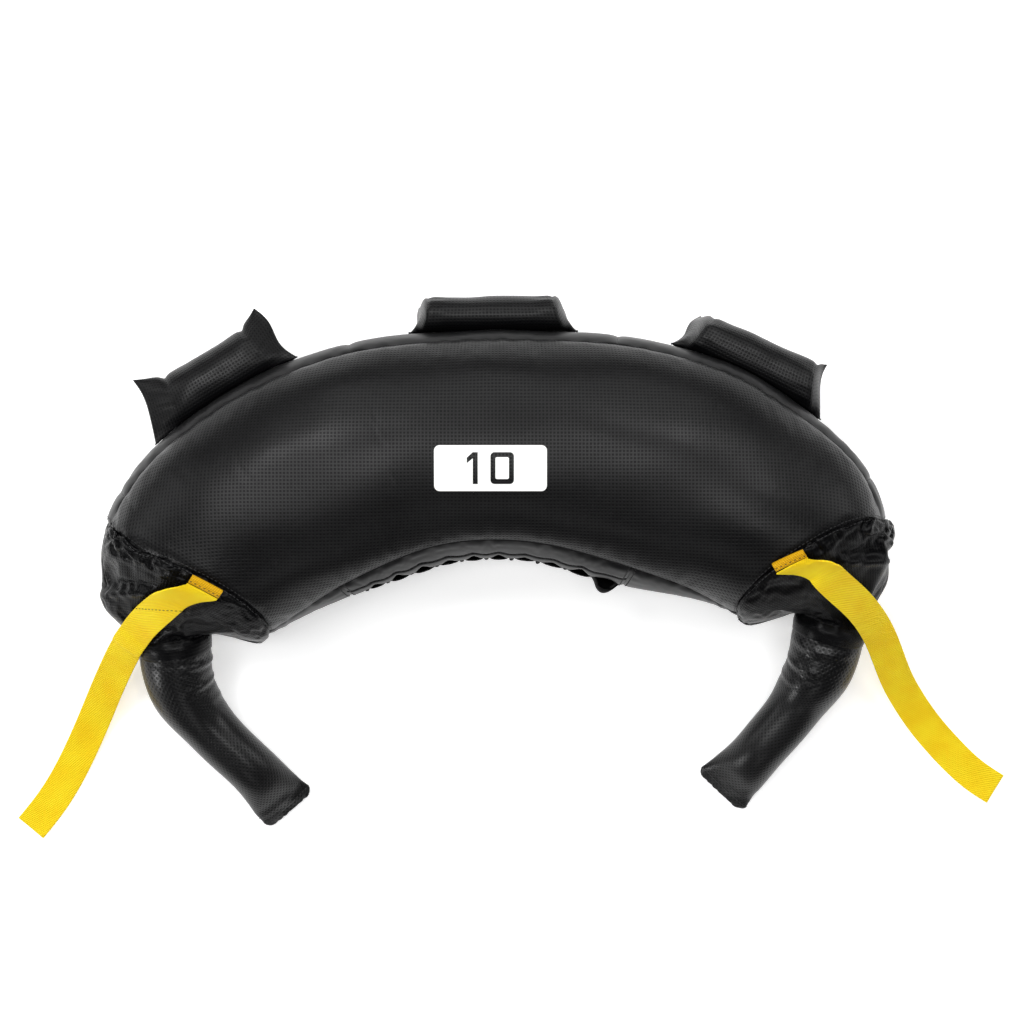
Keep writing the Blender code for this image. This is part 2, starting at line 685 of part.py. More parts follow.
def tab_grid(end, height):
    """The tab's points at a height over the cap: two rows along the seam, columns across the strap."""
    u, nozzle, axis, share = end
    width = np.linalg.norm(outer_crown(u) - inner_crown(u))
    shares = share + np.array((-0.5, 0, 0.5)) * STRAP_WIDTH / width
    far, step = 0.1, 0.02
    length = np.linalg.norm(cap_point(u, nozzle, axis, far, tab_angle(share))
                            - cap_point(u, nozzle, axis, 0, tab_angle(share)))
    grid = []
    for reach in (TAB_START, TAB_START + TAB_LENGTH):
        t = far * reach / length
        row = []
        for angle in [tab_angle(s) for s in shares]:
            point = cap_point(u, nozzle, axis, t, angle)
            along = cap_point(u, nozzle, axis, t + step, angle) - point
            across = cap_point(u, nozzle, axis, t, angle + step) - point
            normal = unit(np.cross(along, across))
            row.append(point + height * (normal if normal[2] > 0 else -normal))
        grid.append(row)
    return np.array(grid)


def strap_rows(end, route):
    """Rows of three points across a strap, from its tab to its free end, and each row's normal."""
    back, edge = tab_grid(end, TOUCH_GAP + TAB_THICK / 2)
    leave = unit(edge[1] - back[1])
    tab_side = unit(edge[2] - edge[0])
    bow = edge[1] - (edge[0] + edge[2]) / 2
    first = edge[1] + leave * STRAP_GAP
    line = even_points([first, first + leave * STRAP_START, *route], STRAP_SPANS + 1)
    rows, normals = [], []
    for k, point in enumerate(line):
        along = unit(line[min(k + 1, STRAP_SPANS)] - line[k - 1]) if k else leave
        level = unit(np.cross(along, UP))
        level = level if np.dot(level, tab_side) > 0 else -level
        turned = min(k / STRAP_TURN, 1)
        across = unit(tab_side * (1 - turned) + level * turned)
        flat = min(k / STRAP_FLATTEN, 1)
        across = unit(across - along * np.dot(across, along) * flat)
        droop = bow * (1 - flat)
        rows.append([point + across * STRAP_WIDTH * f - droop * abs(2 * f) for f in (-0.5, 0, 0.5)])
        normal = unit(np.cross(across, along))
        normals.append(normal if normal[2] > 0 else -normal)
    return np.array(rows), np.array(normals)[:, None, :]


def add_strap(side, end, route, webbing):
    """The sewn tab on the end cap and the strap that leaves it."""
    add_shell(side + "_strap_tab", tab_grid(end, TOUCH_GAP + TAB_THICK), tab_grid(end, TOUCH_GAP), webbing)
    rows, normals = strap_rows(end, route)
    half = normals * STRAP_THICK / 2
    add_shell(side + "_strap", rows + half, rows - half, webbing, origin=rows[0][1] + half[0][0])


# The whole bag

def build():
    clear_scene()
    embossed = make_material("embossed_vinyl", "2B2B2C", 0.42)
    smooth = make_material("smooth_vinyl", "38393A", 0.38)
    webbing = make_material("polyester_webbing", "F7DC29", 0.75)
    cord = make_material("lacing_cord", "161616", 0.8)
    woven = make_material("woven_sack", "1E1E1F", 0.85)
    sand = make_material("ballast", "A38F6D", 0.95)
    wool = make_material("wool_wadding", "D9D4C6", 0.95)
    foam = make_material("foam", "4A4A4C", 0.9)

    add_panel("front_panel", front_angles, 0, LAST_RIB, embossed)
    add_panel("back_panel", back_angles, 0, LAST_RIB, embossed)
    outer_names = ["outer_gusset_left_end", "outer_gusset_left", "outer_gusset_centre",
                   "outer_gusset_right", "outer_gusset_right_end"]
    add_strips(outer_names, OUTER_SEAMS, outer_crown, outer_angles, smooth)
    inner_names = ["inner_gusset_left", None, "inner_gusset_right"]
    add_strips(inner_names, INNER_SEAMS, inner_crown, inner_angles, smooth)
    add_lip("closure_lip_front", -1, smooth)
    add_lip("closure_lip_back", 1, smooth)
    add_lace("closure_lace", lace_points(), cord)
    add_filling(woven, sand)

    ends = [("left", 0, LEFT_NOZZLE, LEFT_ARM_ROUTE, LEFT_TAB_SHARE, LEFT_STRAP_ROUTE),
            ("right", LAST_RIB, RIGHT_NOZZLE, RIGHT_ARM_ROUTE, RIGHT_TAB_SHARE, RIGHT_STRAP_ROUTE)]
    for side, u, mouth, arm_route, tab_share, strap_route in ends:
        nozzle = placed(mouth)
        axis = placed(arm_route[0]) - nozzle
        add_end(side, u, nozzle, axis, embossed, wool)
        add_arm(side, nozzle, placed(arm_route), embossed, wool)
        add_strap(side, (u, nozzle, axis, tab_share), placed(strap_route), webbing)
    for name in GRIPS:
        add_grip(name, embossed, foam)


build()
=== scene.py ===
# %% [markdown]
# # A bulgarian bag in black vinyl
# The bag is a stuffed crescent of PVC-coated cloth. It has two panels, a narrow strip round the outer
# curve, a laced strip on the inner curve, gathered caps at the two ends, two stuffed arms, three roll
# grips and two yellow pull straps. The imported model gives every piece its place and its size. This
# script sews a finer skin over each of them: it inflates the cloth, puckers it along its seams, adds
# stitches, and gives each material its own surface.

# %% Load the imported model
from math import asin, pi, radians

import bmesh
import bpy
import numpy as np
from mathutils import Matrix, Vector
from mathutils.bvhtree import BVHTree


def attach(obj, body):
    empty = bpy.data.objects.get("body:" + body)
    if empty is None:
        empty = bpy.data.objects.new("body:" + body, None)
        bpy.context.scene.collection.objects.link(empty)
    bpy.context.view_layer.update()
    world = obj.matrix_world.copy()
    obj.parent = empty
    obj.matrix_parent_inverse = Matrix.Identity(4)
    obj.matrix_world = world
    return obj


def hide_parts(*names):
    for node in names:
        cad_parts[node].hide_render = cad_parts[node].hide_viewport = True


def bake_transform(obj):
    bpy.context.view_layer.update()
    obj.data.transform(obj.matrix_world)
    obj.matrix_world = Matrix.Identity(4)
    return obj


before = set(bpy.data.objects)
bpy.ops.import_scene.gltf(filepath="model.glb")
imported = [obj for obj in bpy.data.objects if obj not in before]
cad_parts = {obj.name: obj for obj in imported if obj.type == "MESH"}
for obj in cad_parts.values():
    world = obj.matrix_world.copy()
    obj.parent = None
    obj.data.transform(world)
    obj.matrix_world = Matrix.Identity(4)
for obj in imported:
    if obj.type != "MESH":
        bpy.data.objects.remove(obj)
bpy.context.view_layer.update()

# %% [markdown]
# ## Camera
# The bag lies on its back and is seen from straight above, so the camera looks down and the top of
# the picture is +Y. A long lens far away keeps the arms and the straps from spreading.

# %% Camera
CAMERA_PLACE = (0.009, -0.0495, 2.208)
camera_data = bpy.data.cameras.new("camera")
camera_data.lens = 100.0
camera_data.sensor_width = 36.0
camera = bpy.data.objects.new("camera", camera_data)
camera.location = CAMERA_PLACE
bpy.context.collection.objects.link(camera)
bpy.context.scene.camera = camera
print("camera", CAMERA_PLACE)

# %% [markdown]
# ## Small tools
# A mesh made from rows of points is the natural way to make cloth: each row runs round a piece or across it
# and each column runs along it, so a seam is simply one row or one column. `cloth_piece` turns such a grid
# into an object whose place is in its mesh, and `settled` turns its modifiers into plain mesh, so that the
# piece can move with the model.

# %% Points, grids and pieces
UP = np.array((0.0, 0.0, 1.0))


def unit(vectors):
    """Vectors of length one, for one vector or a grid of them."""
    vectors = np.asarray(vectors, float)
    return vectors / np.maximum(np.linalg.norm(vectors, axis=-1, keepdims=True), 1e-12)


def dot(a, b):
    """Dot product along the last axis, which is kept."""
    return np.sum(a * b, axis=-1, keepdims=True)


def smooth_step(value, low, high):
    """From 0 at low to 1 at high, without a corner."""
    t = np.clip((np.asarray(value, float) - low) / (high - low), 0, 1)
    return t * t * (3 - 2 * t)


def spline(points):
    """The natural cubic through points, as a function of their count from zero."""
    knots = np.array(points, float)
    count = len(knots)
    system = np.eye(count)
    bend = np.zeros_like(knots)
    for i in range(1, count - 1):
        system[i, i - 1:i + 2] = (1, 4, 1)
        bend[i] = 6 * (knots[i + 1] - 2 * knots[i] + knots[i - 1])
    bend = np.linalg.solve(system, bend)

    def at(t):
        t = np.asarray(t, float)
        i = np.clip(t, 0, count - 1.000001).astype(int)
        f = (t - i)[..., None]
        g = 1 - f
        pull = (g ** 3 - g) * bend[i] + (f ** 3 - f) * bend[i + 1]
        return g * knots[i] + f * knots[i + 1] + pull / 6
    return at


def travel(points):
    """Distance along a line of points, from its first one."""
    steps = np.linalg.norm(np.diff(points, axis=0), axis=1)
    return np.concatenate(([0.0], np.cumsum(steps)))


def along_line(line, way, wanted):
    """Points at the wanted distances along a line, whose own points lie at the distances in way."""
    return np.stack([np.interp(wanted, way, line[:, k]) for k in range(line.shape[1])], axis=-1)


def spread(points, shares):
    """Points at shares of the length of the smooth line through a few points."""
    fine = spline(points)(np.linspace(0, len(points) - 1, 60 * len(points)))
    way = travel(fine)
    return along_line(fine, way, np.asarray(shares) * way[-1])


def grid_cells(rows, cols, ring=False):
    """Four corners, as row and column, of every cell of a grid; ring joins the last column to the first."""
    i, j = np.meshgrid(np.arange(rows - 1), np.arange(cols if ring else cols - 1), indexing="ij")
    i, j = i.ravel(), j.ravel()
    return np.stack([i, i, i + 1, i + 1], axis=1), np.stack([j, j + 1, j + 1, j], axis=1)


def cloth_piece(name, points, material, uv, ring=False):
    """A mesh object through a grid of points, at the origin; a ring's uv has one more column than it."""
    rows, cols = points.shape[:2]
    i, j = grid_cells(rows, cols, ring)
    mesh = bpy.data.meshes.new(name)
    mesh.from_pydata(points.reshape(-1, 3).tolist(), [], (i * cols + j % cols).tolist())
    layer = mesh.uv_layers.new(name="cloth")
    layer.data.foreach_set("uv", np.asarray(uv, float)[i, j].ravel())
    mesh.shade_smooth()
    mesh.materials.append(material)
    piece = bpy.data.objects.new(name, mesh)
    bpy.context.collection.objects.link(piece)
    return piece


def mesh_points(mesh):
    """Places of all points of a mesh, one in each row."""
    flat = np.empty(len(mesh.vertices) * 3)
    mesh.vertices.foreach_get("co", flat)
    return flat.reshape(-1, 3)


def settled(piece):
    """Turn a piece's modifiers into its plain mesh."""
    graph = bpy.context.evaluated_depsgraph_get()
    done = bpy.data.meshes.new_from_object(piece.evaluated_get(graph))
    piece.modifiers.clear()
    old = piece.data
    piece.data = done
    bpy.data.meshes.remove(old)
    return piece


def thicken(piece, thickness, offset=0.0):
    """Give a sheet its thickness, to both sides of it, or inwards where the offset is -1."""
    wall = piece.modifiers.new("sheet", "SOLIDIFY")
    wall.thickness, wall.offset = thickness, offset


def face_outwards(piece, merge=0.0):
    """Turn all faces of a mesh to its outside, and merge points that lie closer than a distance."""
    shape = bmesh.new()
    shape.from_mesh(piece.data)
    if merge:
        bmesh.ops.remove_doubles(shape, verts=shape.verts, dist=merge)
    bmesh.ops.recalc_face_normals(shape, faces=shape.faces)
    shape.to_mesh(piece.data)
    shape.free()


def search_tree(piece):
    """A piece's mesh in a form that finds its nearest point, or the first one along a ray, quickly."""
    mesh = piece.data
    return BVHTree.FromPolygons([v.co[:] for v in mesh.vertices], [tuple(p.vertices) for p in mesh.polygons])


print("tools ready")

# %% [markdown]
# ## The crescent
# Seen from above, each rib of the bag runs from the outer curve to the inner one. Round a rib the bag
# is a slightly squared oval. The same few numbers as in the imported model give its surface, so the
# skin lands where the model is. An angle of 0 is the outer curve, 90 degrees the front, 180 the inner
# curve and 270 the back.

# %% Surface of the crescent
OUTER_CROWN = [
    (-0.296, -0.056), (-0.272, -0.014), (-0.232, 0.022), (-0.172, 0.058), (-0.092, 0.081), (0.000, 0.086),
    (0.095, 0.0825), (0.175, 0.060), (0.234, 0.024), (0.272, -0.011), (0.291, -0.056),
]
INNER_CROWN = [
    (-0.177, -0.142), (-0.146, -0.127), (-0.117, -0.115), (-0.084, -0.102), (-0.042, -0.0885),
    (0.000, -0.0845), (0.045, -0.091), (0.092, -0.104), (0.130, -0.111), (0.160, -0.119), (0.181, -0.129),
]
LAST_RIB = len(OUTER_CROWN) - 1
MIDDLE_HEIGHT, END_HEIGHT = 0.150, 0.132
CROWN_LEVEL, SQUARENESS, UNDERSIDE_SINK = 0.48, 2.2, 0.005
OUTER_HALF = radians(24)
INNER_HALF, INNER_HALF_END, INNER_FADE = radians(36), radians(6), 2.2
OUTER_SEAMS, INNER_SEAMS = [0.5, 3.75, 5.93, 9.3], [2.2, 7.0]
LEFT_BOW = (0.0155, radians(122), radians(58))      # how far a seam bows, where most, over which angle
RIGHT_BOW = (0.0225, radians(100), radians(82))
BOW_FADE = 2.0                                      # ribs over which the bow dies out
outer_crown, inner_crown = spline(OUTER_CROWN), spline(INNER_CROWN)


def power(value):
    """A cosine or a sine for a squared oval."""
    return np.sign(value) * np.abs(value) ** (2 / SQUARENESS)


def body_height(u):
    """Height of the bag at a rib."""
    middle = LAST_RIB / 2
    return MIDDLE_HEIGHT - (MIDDLE_HEIGHT - END_HEIGHT) * ((u - middle) / middle) ** 2


def straight_surface(u, angle, depth):
    """A point of the bag, at a depth under its skin, before its end seams bow."""
    outer, inner = outer_crown(u), inner_crown(u)
    half = np.linalg.norm(outer - inner, axis=-1) / 2
    level = CROWN_LEVEL * body_height(u)
    rise = np.where(np.sin(angle) > 0, body_height(u) - level, level + UNDERSIDE_SINK)
    across = (outer + inner) / 2 + unit(outer - inner) * ((half - depth) * power(np.cos(angle)))[..., None]
    height = np.maximum(level + (rise - depth) * power(np.sin(angle)), depth)
    return np.concatenate([across, height[..., None]], axis=-1)


def seam_bow(u, angle):
    """How many ribs the front is drawn towards the middle near each end seam."""
    shift = np.zeros(np.broadcast(u, angle).shape)
    for end, inward, (amount, peak, width) in ((0, 1, LEFT_BOW), (LAST_RIB, -1, RIGHT_BOW)):
        turn = np.clip((angle - peak) / width, -1, 1)
        fade = np.clip(1 - np.abs(u - end) / BOW_FADE, 0, 1)
        ends = np.full(shift.shape, float(end))
        rib = np.linalg.norm(straight_surface(ends + inward, angle, 0.0)
                             - straight_surface(ends, angle, 0.0), axis=-1)
        shift += inward * fade * amount / rib * np.cos(turn * pi / 2)
    return shift


def surface(u, angle, depth=0.0):
    """A point of the bag at a rib, an angle round it and a depth under its skin."""
    u, angle = np.broadcast_arrays(np.asarray(u, float), np.asarray(angle, float))
    return straight_surface(u + seam_bow(u, angle), angle, depth)


def inner_half(u):
    """Half the angle that the inner strip takes up at a rib."""
    share = np.abs(np.asarray(u, float) - LAST_RIB / 2) / (LAST_RIB / 2)
    return INNER_HALF_END + (INNER_HALF - INNER_HALF_END) * (1 - share ** INNER_FADE)


def outward(u):
    """Horizontal direction out of an end of the crescent."""
    rib = unit(outer_crown(u) - inner_crown(u))
    side = np.array((-rib[1], rib[0], 0.0))
    return side if side[0] * (u - LAST_RIB / 2) > 0 else -side


print("height in the middle", surface(5.0, pi / 2)[2])

# %% [markdown]
# ## The end caps
# Each cap runs from an end seam to the round mouth that the arm comes out of. A cubic with a set
# direction at both ends makes the shoulder swell before it draws in.

# %% Surface of the end caps
NOZZLES = {"left": np.array((-0.247, -0.150, 0.048)), "right": np.array((0.250, -0.139, 0.048))}
ARM_ROUTES = {
    "left": np.array([(-0.243, -0.181, 0.0395), (-0.223, -0.213, 0.0295),
                      (-0.1955, -0.242, 0.0235), (-0.165, -0.2765, 0.0052)]),
    "right": np.array([(0.2425, -0.169, 0.041), (0.229, -0.193, 0.0305),
                       (0.205, -0.226, 0.0235), (0.1725, -0.2625, 0.0052)]),
}
CAP_REACH, CAP_SWELL, CAP_RISE, MOUTH_REACH = 0.052, 0.026, 0.012, 0.030
ROOT_RADIUS, MOUTH_ANGLE, MOUTH_GAP = 0.0265, radians(110), 0.0021
END_RIB = {"left": 0.0, "right": float(LAST_RIB)}


def ball_point(centre, axes, radius, polar, turn):
    """A point of a ball round an arm's root, from its angle to the arm and its turn round it."""
    along, side, up = axes
    rim = np.cos(turn)[..., None] * side + np.sin(turn)[..., None] * up
    return centre + radius * (np.cos(polar) * along + np.sin(polar) * rim)


def cap_surface(side_name, t, angle):
    """Point of a cap from its end seam (t = 0) to the mouth (t = 1)."""
    u, nozzle = END_RIB[side_name], NOZZLES[side_name]
    t, angle = np.broadcast_arrays(np.asarray(t, float), np.asarray(angle, float))
    rib = np.append(unit(outer_crown(u) - inner_crown(u)), 0.0)
    out = outward(u)
    along = unit(ARM_ROUTES[side_name][0] - nozzle)
    side = unit(rib - along * np.dot(rib, along))
    up = np.cross(along, side)
    axes = (along, side, up if up[2] > 0 else -up)
    start = surface(np.full(t.shape, u), angle)
    rise = (CAP_RISE * np.maximum(np.sin(angle), 0))[..., None]
    swell = rib * (CAP_SWELL * np.cos(angle))[..., None] + UP * rise
    leave = out * CAP_REACH + swell
    end = ball_point(nozzle, axes, ROOT_RADIUS + MOUTH_GAP, MOUTH_ANGLE, angle)
    arrive = ball_point(np.zeros(3), axes, MOUTH_REACH, MOUTH_ANGLE - pi / 2, angle)
    t = t[..., None]
    point = ((2 * t ** 3 - 3 * t ** 2 + 1) * start + (t ** 3 - 2 * t ** 2 + t) * leave
             + (3 * t ** 2 - 2 * t ** 3) * end + (t ** 3 - t ** 2) * arrive)
    point[..., 2] = np.maximum(point[..., 2], 0.0)
    return point


print("left mouth", cap_surface("left", 1.0, 0.0).round(4))

# %% [markdown]
# ## Finishes
# PVC-coated cloth is a plastic film on a woven base. The film is pressed with a pattern while it is
# warm, so the panels carry a fine square grid of little pits, and the strips along the seams are plain.
# Every pattern is worked out in millimetres from the real thing and read from the piece's own UV map,
# which holds metres along the cloth.

# %% Colours and nodes
def linear(colour):
    """A colour for a shader from its hex code."""
    channels = [int(colour[k:k + 2], 16) / 255 for k in (0, 2, 4)]
    return [c / 12.92 if c <= 0.04045 else ((c + 0.055) / 1.055) ** 2.4 for c in channels] + [1.0]


def add_node(tree, kind, settings=(), **inputs):
    """A node with its settings, and each input set to a number, a colour or another node's output."""
    made = tree.nodes.new(kind)
    for name, value in dict(settings).items():
        setattr(made, name, value)
    for name, value in inputs.items():
        numbered = name[0] == "i" and name[1:].isdigit()      # i0 is the first input, i1 the second
        place = int(name[1:]) if numbered else name.replace("_", " ")
        if isinstance(value, bpy.types.NodeSocket):
            tree.links.new(value, made.inputs[place])
        else:
            made.inputs[place].default_value = value
    return made.outputs[0] if made.outputs else made


def new_finish(name, colour, roughness):
    """A material with its tree and its shader."""
    material = bpy.data.materials.new(name)
    material.use_nodes = True
    tree = material.node_tree
    shader = tree.nodes["Principled BSDF"]
    shader.inputs["Base Color"].default_value = linear(colour)
    shader.inputs["Roughness"].default_value = roughness
    return material, tree, shader


print("white is", [round(c, 4) for c in linear("FFFFFF")[:3]])

# %% [markdown]
# ### Embossed vinyl
# The pits lie 2.65 mm apart both ways. The smaller of two cosine waves, one along and one across, is high
# only round each crossing, so it draws small square pits. The film between them stays flat and carries
# the highlight, and the pits stay dark. Creases too small to model are a little noise in the same bump.
# The caps get a darker, duller copy of the film: painted shade for their crumpled, self-shaded cloth. The
# film is polished on the arms, which are held.

# %% Embossed and smooth PVC vinyl
EMBOSS_PITCH, EMBOSS_DEPTH = 0.00265, 0.00013
PIT_EDGES = (-0.55, 0.45)                       # heights of the wave where a pit begins and where it is full
FINE_CREASE, GLOSS_PATCH = 0.00625, 0.0714      # sizes of the small creases and of the patches of gloss
CREASE_SHARE = 0.35                             # depth of the creases as a share of that of the pits
MATH = "ShaderNodeMath"


def vinyl_grain(tree, shader, height, depth, low, high):
    """Bump from a height of 0 to 1, and a gloss that varies gently over a hand's breadth."""
    add_node(tree, "ShaderNodeTexCoord")
    where = tree.nodes[-1].outputs["Object"]
    creases = add_node(tree, "ShaderNodeTexNoise", Vector=where, Scale=1 / FINE_CREASE, Detail=3.0)
    soft = add_node(tree, "ShaderNodeTexNoise", Vector=where, Scale=1 / GLOSS_PATCH, Detail=2.0)
    total = add_node(tree, MATH, {"operation": "MULTIPLY_ADD"}, i0=creases, i1=CREASE_SHARE, i2=height)
    bump = add_node(tree, "ShaderNodeBump", Height=total, Distance=depth, Strength=1.0)
    tree.links.new(bump, shader.inputs["Normal"])
    gloss = add_node(tree, "ShaderNodeMapRange", Value=soft, From_Min=0.3, From_Max=0.7,
                     To_Min=low, To_Max=high)
    tree.links.new(gloss, shader.inputs["Roughness"])


def embossed_vinyl(name, colour, film, pits, low, high):
    """Calendered PVC on cloth, pressed with a grid of pits: soft highlights that break into a mesh."""
    material, tree, shader = new_finish(name, colour, 0.4)
    cloth = add_node(tree, "ShaderNodeUVMap", {"uv_map": "cloth"})
    add_node(tree, "ShaderNodeSeparateXYZ", Vector=cloth)
    waves = []
    for part in list(tree.nodes[-1].outputs)[:2]:
        turns = add_node(tree, MATH, {"operation": "MULTIPLY"}, i0=part, i1=2 * pi / EMBOSS_PITCH)
        waves.append(add_node(tree, MATH, {"operation": "COSINE"}, i0=turns))
    lower = add_node(tree, MATH, {"operation": "MINIMUM"}, i0=waves[0], i1=waves[1])
    pit = add_node(tree, "ShaderNodeMapRange", {"interpolation_type": "SMOOTHSTEP"},
                   Value=lower, From_Min=PIT_EDGES[0], From_Max=PIT_EDGES[1])
    flat = add_node(tree, MATH, {"operation": "SUBTRACT"}, i0=1.0, i1=pit)
    vinyl_grain(tree, shader, flat, EMBOSS_DEPTH, low, high)
    shine = add_node(tree, "ShaderNodeMapRange", Value=pit, To_Min=film, To_Max=pits)
    tree.links.new(shine, shader.inputs["Specular IOR Level"])
    return material


def smooth_vinyl():
    """Calendered PVC on cloth without a pattern: a wider, paler sheen than the embossed film."""
    material, tree, shader = new_finish("PVC vinyl, calendered smooth", "0D0D0E", 0.42)
    vinyl_grain(tree, shader, height=0.0, depth=0.00012, low=0.34, high=0.44)
    shader.inputs["Specular IOR Level"].default_value = 0.15
    return material


EMBOSSED = embossed_vinyl("PVC vinyl, calendered and embossed", "060607",
                          film=0.255, pits=0.12, low=0.30, high=0.40)
# darker, duller copy of the embossed vinyl for the caps: painted shade for their crumpled cloth
SHADED_CAP_VINYL = embossed_vinyl("PVC vinyl, embossed, darkened for painted shade", "040405",
                           film=0.12, pits=0.08, low=0.24, high=0.34)
ARM_VINYL = embossed_vinyl("PVC vinyl, embossed and polished by hands", "060607",
                           film=0.38, pits=0.18, low=0.27, high=0.37)
SMOOTH = smooth_vinyl()
print("emboss", 1 / EMBOSS_PITCH, "pits in a metre")

# %% [markdown]
# ### Webbing and cord
# Polyester webbing is woven from shiny yarns as a fine twill, so its face has slanting ribs 1.6 mm apart
# and a firm edge. The lace is a braided cord, dull and black. Sewing thread is twisted, and each of its
# strands catches a little light. The sack inside is woven from flat plastic tape and is duller still.

# %% Webbing, thread, cord and sack
TWILL_PITCH, PICK_PITCH, TWILL_SLANT, WEAVE_DEPTH = 0.0016, 0.0011, 0.45, 0.00022
WORN_PATCH = 0.0222                             # size of the paler and darker places of the webbing
BAND_PERIOD = 0.314                             # from band to band in a wave texture of scale 1


def webbing(name, dark, light):
    """Woven polyester: slanting yarns with a soft sheen on the crowns and shade between them."""
    material, tree, shader = new_finish(name, light, 0.62)
    cloth = add_node(tree, "ShaderNodeUVMap", {"uv_map": "cloth"})
    add_node(tree, "ShaderNodeSeparateXYZ", Vector=cloth)
    across, along = list(tree.nodes[-1].outputs)[:2]
    slant = add_node(tree, MATH, {"operation": "MULTIPLY_ADD"}, i0=along, i1=TWILL_SLANT, i2=across)
    phase = add_node(tree, MATH, {"operation": "MULTIPLY"}, i0=slant, i1=2 * pi / TWILL_PITCH)
    rib = add_node(tree, MATH, {"operation": "SINE"}, i0=phase)
    picks = add_node(tree, MATH, {"operation": "MULTIPLY"}, i0=along, i1=2 * pi / PICK_PITCH)
    pick = add_node(tree, MATH, {"operation": "SINE"}, i0=picks)
    weave = add_node(tree, MATH, {"operation": "MULTIPLY_ADD"}, i0=pick, i1=0.5, i2=rib)
    bump = add_node(tree, "ShaderNodeBump", Height=weave, Distance=WEAVE_DEPTH, Strength=1.0)
    tree.links.new(bump, shader.inputs["Normal"])
    add_node(tree, "ShaderNodeTexCoord")
    patches = add_node(tree, "ShaderNodeTexNoise", Vector=tree.nodes[-1].outputs["Object"],
                       Scale=1 / WORN_PATCH, Detail=3.0)
    # the colour follows the weave's height: painted sheen on the yarn crowns and painted shade between them,
    # plus random worn patches
    shade = add_node(tree, MATH, {"operation": "MULTIPLY_ADD"}, i0=weave, i1=0.26, i2=patches)
    add_node(tree, "ShaderNodeMix", {"data_type": "RGBA"}, Factor=shade, A=linear(dark), B=linear(light))
    tree.links.new(tree.nodes[-1].outputs["Result"], shader.inputs["Base Color"])
    shader.inputs["Specular IOR Level"].default_value = 0.16
    return material


def braid(name, colour, pitch, roughness):
    """Twisted or braided yarn: slanting strands that catch a thread of light each."""
    material, tree, shader = new_finish(name, colour, roughness)
    add_node(tree, "ShaderNodeTexCoord")
    place = tree.nodes[-1].outputs["Object"]
    add_node(tree, "ShaderNodeTexWave", {"wave_type": "BANDS", "bands_direction": "DIAGONAL"},
             Vector=place, Scale=BAND_PERIOD / pitch, Distortion=1.0)
    bump = add_node(tree, "ShaderNodeBump", Height=tree.nodes[-1].outputs["Fac"],
                    Distance=0.0002, Strength=0.7)
    tree.links.new(bump, shader.inputs["Normal"])
    return material


WEBBING = webbing("polyester webbing, woven", "F6C206", "FFEC28")
# a darker copy of the strap's webbing for the tabs: painted shade, as the steep tabs get less light
SHADED_TAB_WEBBING = webbing("polyester webbing, darkened for painted shade", "C08A06", "E2B012")
CORD = braid("polyester cord, braided", "121212", 0.0016, 0.7)
THREAD = braid("polyester thread, twisted", "242425", 0.0010, 0.55)
HEM_THREAD = braid("polyester thread, waxed black", "060607", 0.0010, 0.7)
TAB_THREAD = braid("black polyester thread on webbing", "3A2E0C", 0.0010, 0.6)
# near-black sackcloth: painted shade for the dark inside of the slit, as its own colour is not known
SHADED_SACKCLOTH = braid("polypropylene sackcloth, painted dark for shade", "0C0C0D", 0.0016, 0.8)
print("materials", len(bpy.data.materials))

# %% [markdown]
# ## The skin of the bag
# The body and both caps are one grid of points. Its columns run along the bag, with one on each seam.
# Its rows run round it, with one on each cross seam. A narrow step on both sides of a seam lets the
# cloth roll down into it.

# %% The grid of the skin
CELL, CAP_CELL = 0.0037, 0.0029     # between points of the cloth
SEAM_SIDE = 0.0014                  # from a seam to the next points
CAP_LENGTH = 0.085                  # from an end seam to the arm's mouth, over the cap
MIDDLE_RIB = 5.0


def spaced(length, cell=CELL):
    """Distances from 0 to length in even steps, with a narrow one at both ends."""
    count = max(2, int(round((length - 2 * SEAM_SIDE) / cell)))
    return np.concatenate(([0.0], np.linspace(SEAM_SIDE, length - SEAM_SIDE, count + 1), [length]))


def strip_bounds(u):
    """Angles of the four long seams at a rib, and the first one again after a whole turn."""
    half = inner_half(u)
    outer = np.full_like(half, OUTER_HALF)
    return [-outer, outer, pi - half, pi + half, 2 * pi - outer]


def strip_shares():
    """For each strip, the shares of its angle that lie at even distances on the middle rib."""
    bounds = strip_bounds(MIDDLE_RIB)
    shares = []
    for low, high in zip(bounds, bounds[1:]):
        fine = np.linspace(0, 1, 500)
        way = travel(surface(MIDDLE_RIB, low + (high - low) * fine))
        shares.append(np.interp(spaced(way[-1]), way, fine))
    return shares


SHARES = strip_shares()
SEAM_COLUMNS = np.concatenate(([0], np.cumsum([len(share) - 1 for share in SHARES])))
COLUMNS = int(SEAM_COLUMNS[-1])     # the last seam column closes the ring and is the first one again


def ring_angles(u):
    """Angles of all columns at a rib."""
    bounds = strip_bounds(np.asarray(u, float))
    strips = []
    for low, high, share in zip(bounds, bounds[1:], SHARES):
        strips.append(low[..., None] + (high - low)[..., None] * share[:-1])
    return np.concatenate(strips, axis=-1)


def body_ribs():
    """Ribs at even distances along the top of the bag, with one on each cross seam."""
    stops = sorted([0.0, float(LAST_RIB)] + OUTER_SEAMS + INNER_SEAMS)
    ribs = [0.0]
    for start, end in zip(stops, stops[1:]):
        fine = np.linspace(start, end, 200)
        way = travel((surface(fine, 0.4) + surface(fine, pi / 2)) / 2)
        ribs += list(np.interp(spaced(way[-1]), way, fine)[1:])
    return np.array(ribs)


def row_at(rib):
    """The row of the skin that lies on a rib."""
    return LEFT_SEAM + int(np.argmin(np.abs(RIBS - rib)))


